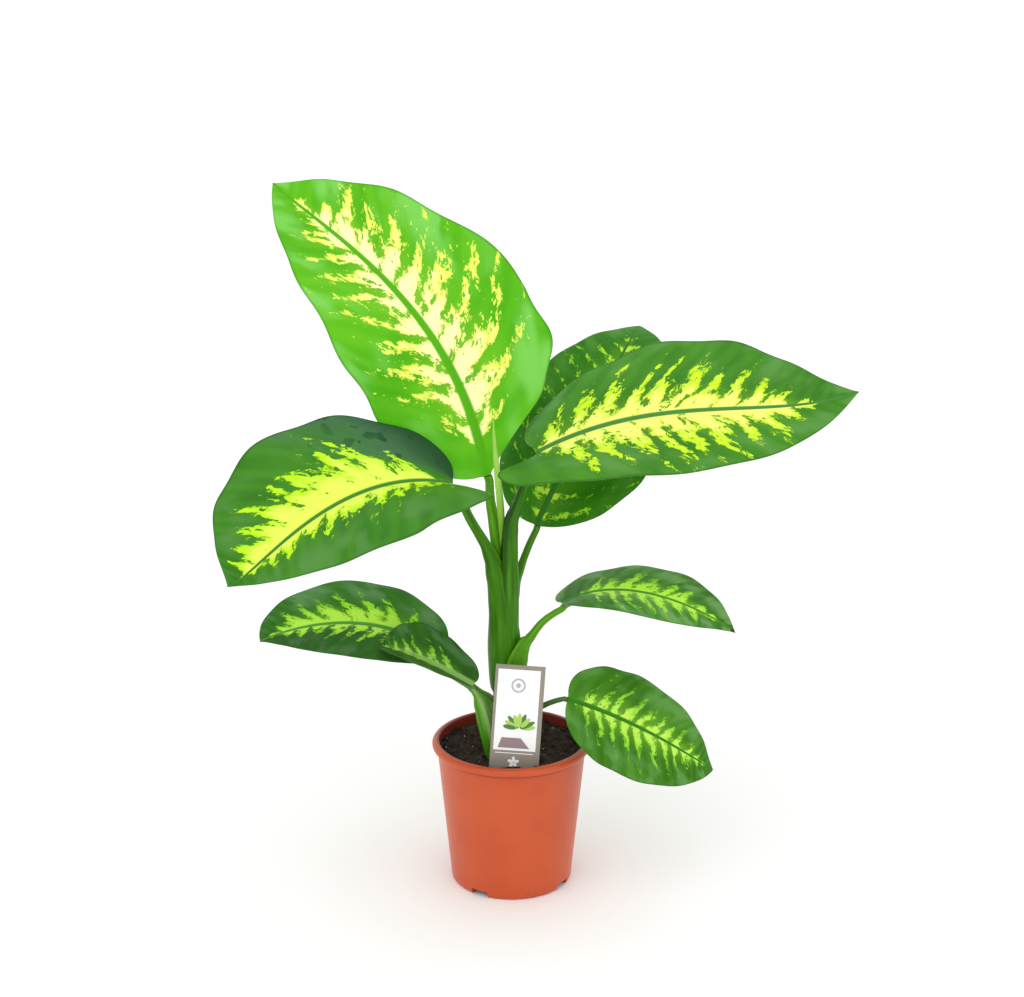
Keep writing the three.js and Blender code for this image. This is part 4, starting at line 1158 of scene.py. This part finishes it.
def make_card():
    half, bottom = LABEL_WIDTH / 2, -LABEL_CARD - LABEL_SPIKE
    outline = [(-half, 0), (half, 0), (half, -LABEL_CARD), (LABEL_TIP, bottom), (-LABEL_TIP, bottom),
               (-half, -LABEL_CARD)]
    bm = bmesh.new()
    plate(bm, outline, -LABEL_THICKNESS / 2, LABEL_THICKNESS)
    stock = card_material("label card", LABEL_GREY, 0.42)
    label_piece(bm, "care_label", stock, stands_for=["label"])


def rectangle(left, right, high, low):
    return [(left, high), (right, high), (right, low), (left, low)]


def round_place(centre, radii, angle):
    """A point on the oval with this centre and these radii."""
    return centre[0] + radii[0] * math.cos(angle), centre[1] + radii[1] * math.sin(angle)


def oval(centre, length, width, turn=0.0):
    """The outline of an oval, its length turned up from the x axis."""
    steps = 20
    outline = []
    for i in range(steps):
        x, z = round_place((0, 0), (0.5 * length, 0.5 * width), 2 * math.pi * i / steps)
        outline.append((centre[0] + x * math.cos(turn) - z * math.sin(turn),
                        centre[1] + x * math.sin(turn) + z * math.cos(turn)))
    return outline


def make_print():
    bm = bmesh.new()

    def ink(outline, layer, material, depth=1):
        """A patch of print whose face is this many layers above the card, and depth layers thick."""
        front = -LABEL_THICKNESS / 2 - layer * LABEL_INK
        plate(bm, outline, front, depth * LABEL_INK, material)

    ink(rectangle(**PANEL), 1, WHITE)
    # a tuft of leaves over a small mat
    ink(MAT, 2, MAUVE)
    for k in range(TUFT_LEAVES):
        angle = math.radians(TUFT_FIRST + TUFT_STEP * k)
        length = TUFT_LENGTH + TUFT_LENGTH_CHANGE * math.sin(2.3 * k)
        leaf = oval(round_place(TUFT_CENTRE, TUFT_SPREAD, angle), length, TUFT_WIDTH, angle)
        layer = 2 + k % 3
        ink(leaf, layer, (LEAF_GREEN, DEEP_GREEN)[(k + k // 5) % 2], depth=layer - 1)
    # a ring above, a rule and a rosette below
    for layer, size, material in zip((2, 3, 4), RING_SIZES, (GREY, WHITE, GREY)):
        ink(oval(RING_CENTRE, size, size), layer, material)
    ink(rectangle(**RULE), 1, WHITE)
    for k in range(PETALS):
        angle = math.radians(90 + 360 / PETALS * k)
        place = round_place(ROSETTE_CENTRE, (ROSETTE_RADIUS, ROSETTE_RADIUS), angle)
        ink(oval(place, *PETAL_SIZE, angle), 1, WHITE)
    inks = [card_material(name, colour, 0.35) for name, colour in PRINT_COLOURS.items()]
    label_piece(bm, "label_print", *inks)


# ---------- assembly ----------

make_pot()
make_soil()
make_crumbs()
make_card()
make_print()
make_cane()
make_new_leaf()
for leaf_name in LEAVES:
    make_stalk(leaf_name)
    make_blade(leaf_name)


# ---------- floor, light and camera ----------

def make_stage():
    bm = bmesh.new()
    bmesh.ops.create_grid(bm, x_segments=1, y_segments=1, size=FLOOR_SIZE)
    mesh = bpy.data.meshes.new("floor")
    bm.to_mesh(mesh)
    bm.free()
    floor = bpy.data.objects.new("floor", mesh)
    bpy.context.scene.collection.objects.link(floor)
    material, _, shader = new_material("floor", Roughness=0.9, Specular_IOR_Level=0.1)
    shader.inputs["Base Color"].default_value = FLOOR_WHITE
    mesh.materials.append(material)

    world = bpy.data.worlds.new("studio")
    bpy.context.scene.world = world
    world.use_nodes = True
    background = world.node_tree.nodes["Background"]
    background.inputs["Color"].default_value = (1, 1, 1, 1)
    background.inputs["Strength"].default_value = 1.0

    def sun(name, strength, spread, down, turn):
        data = bpy.data.lights.new(name, "SUN")
        data.energy = strength
        data.angle = math.radians(spread)
        lamp = bpy.data.objects.new(name, data)
        lamp.rotation_euler = (math.radians(down), 0, math.radians(turn))
        bpy.context.scene.collection.objects.link(lamp)

    sun("key", strength=0.50, spread=60, down=42, turn=-28)
    sun("fill", strength=0.28, spread=90, down=55, turn=50)


def make_camera():
    data = bpy.data.cameras.new("camera")
    data.lens = CAMERA_LENS
    data.sensor_width = 36
    camera = bpy.data.objects.new("camera", data)
    camera.location = CAMERA_PLACE
    camera.rotation_euler = (math.pi / 2 - CAMERA_DOWN, 0, 0)
    bpy.context.scene.collection.objects.link(camera)
    bpy.context.scene.camera = camera


make_stage()
make_camera()
bpy.context.scene.view_settings.view_transform = "Standard"
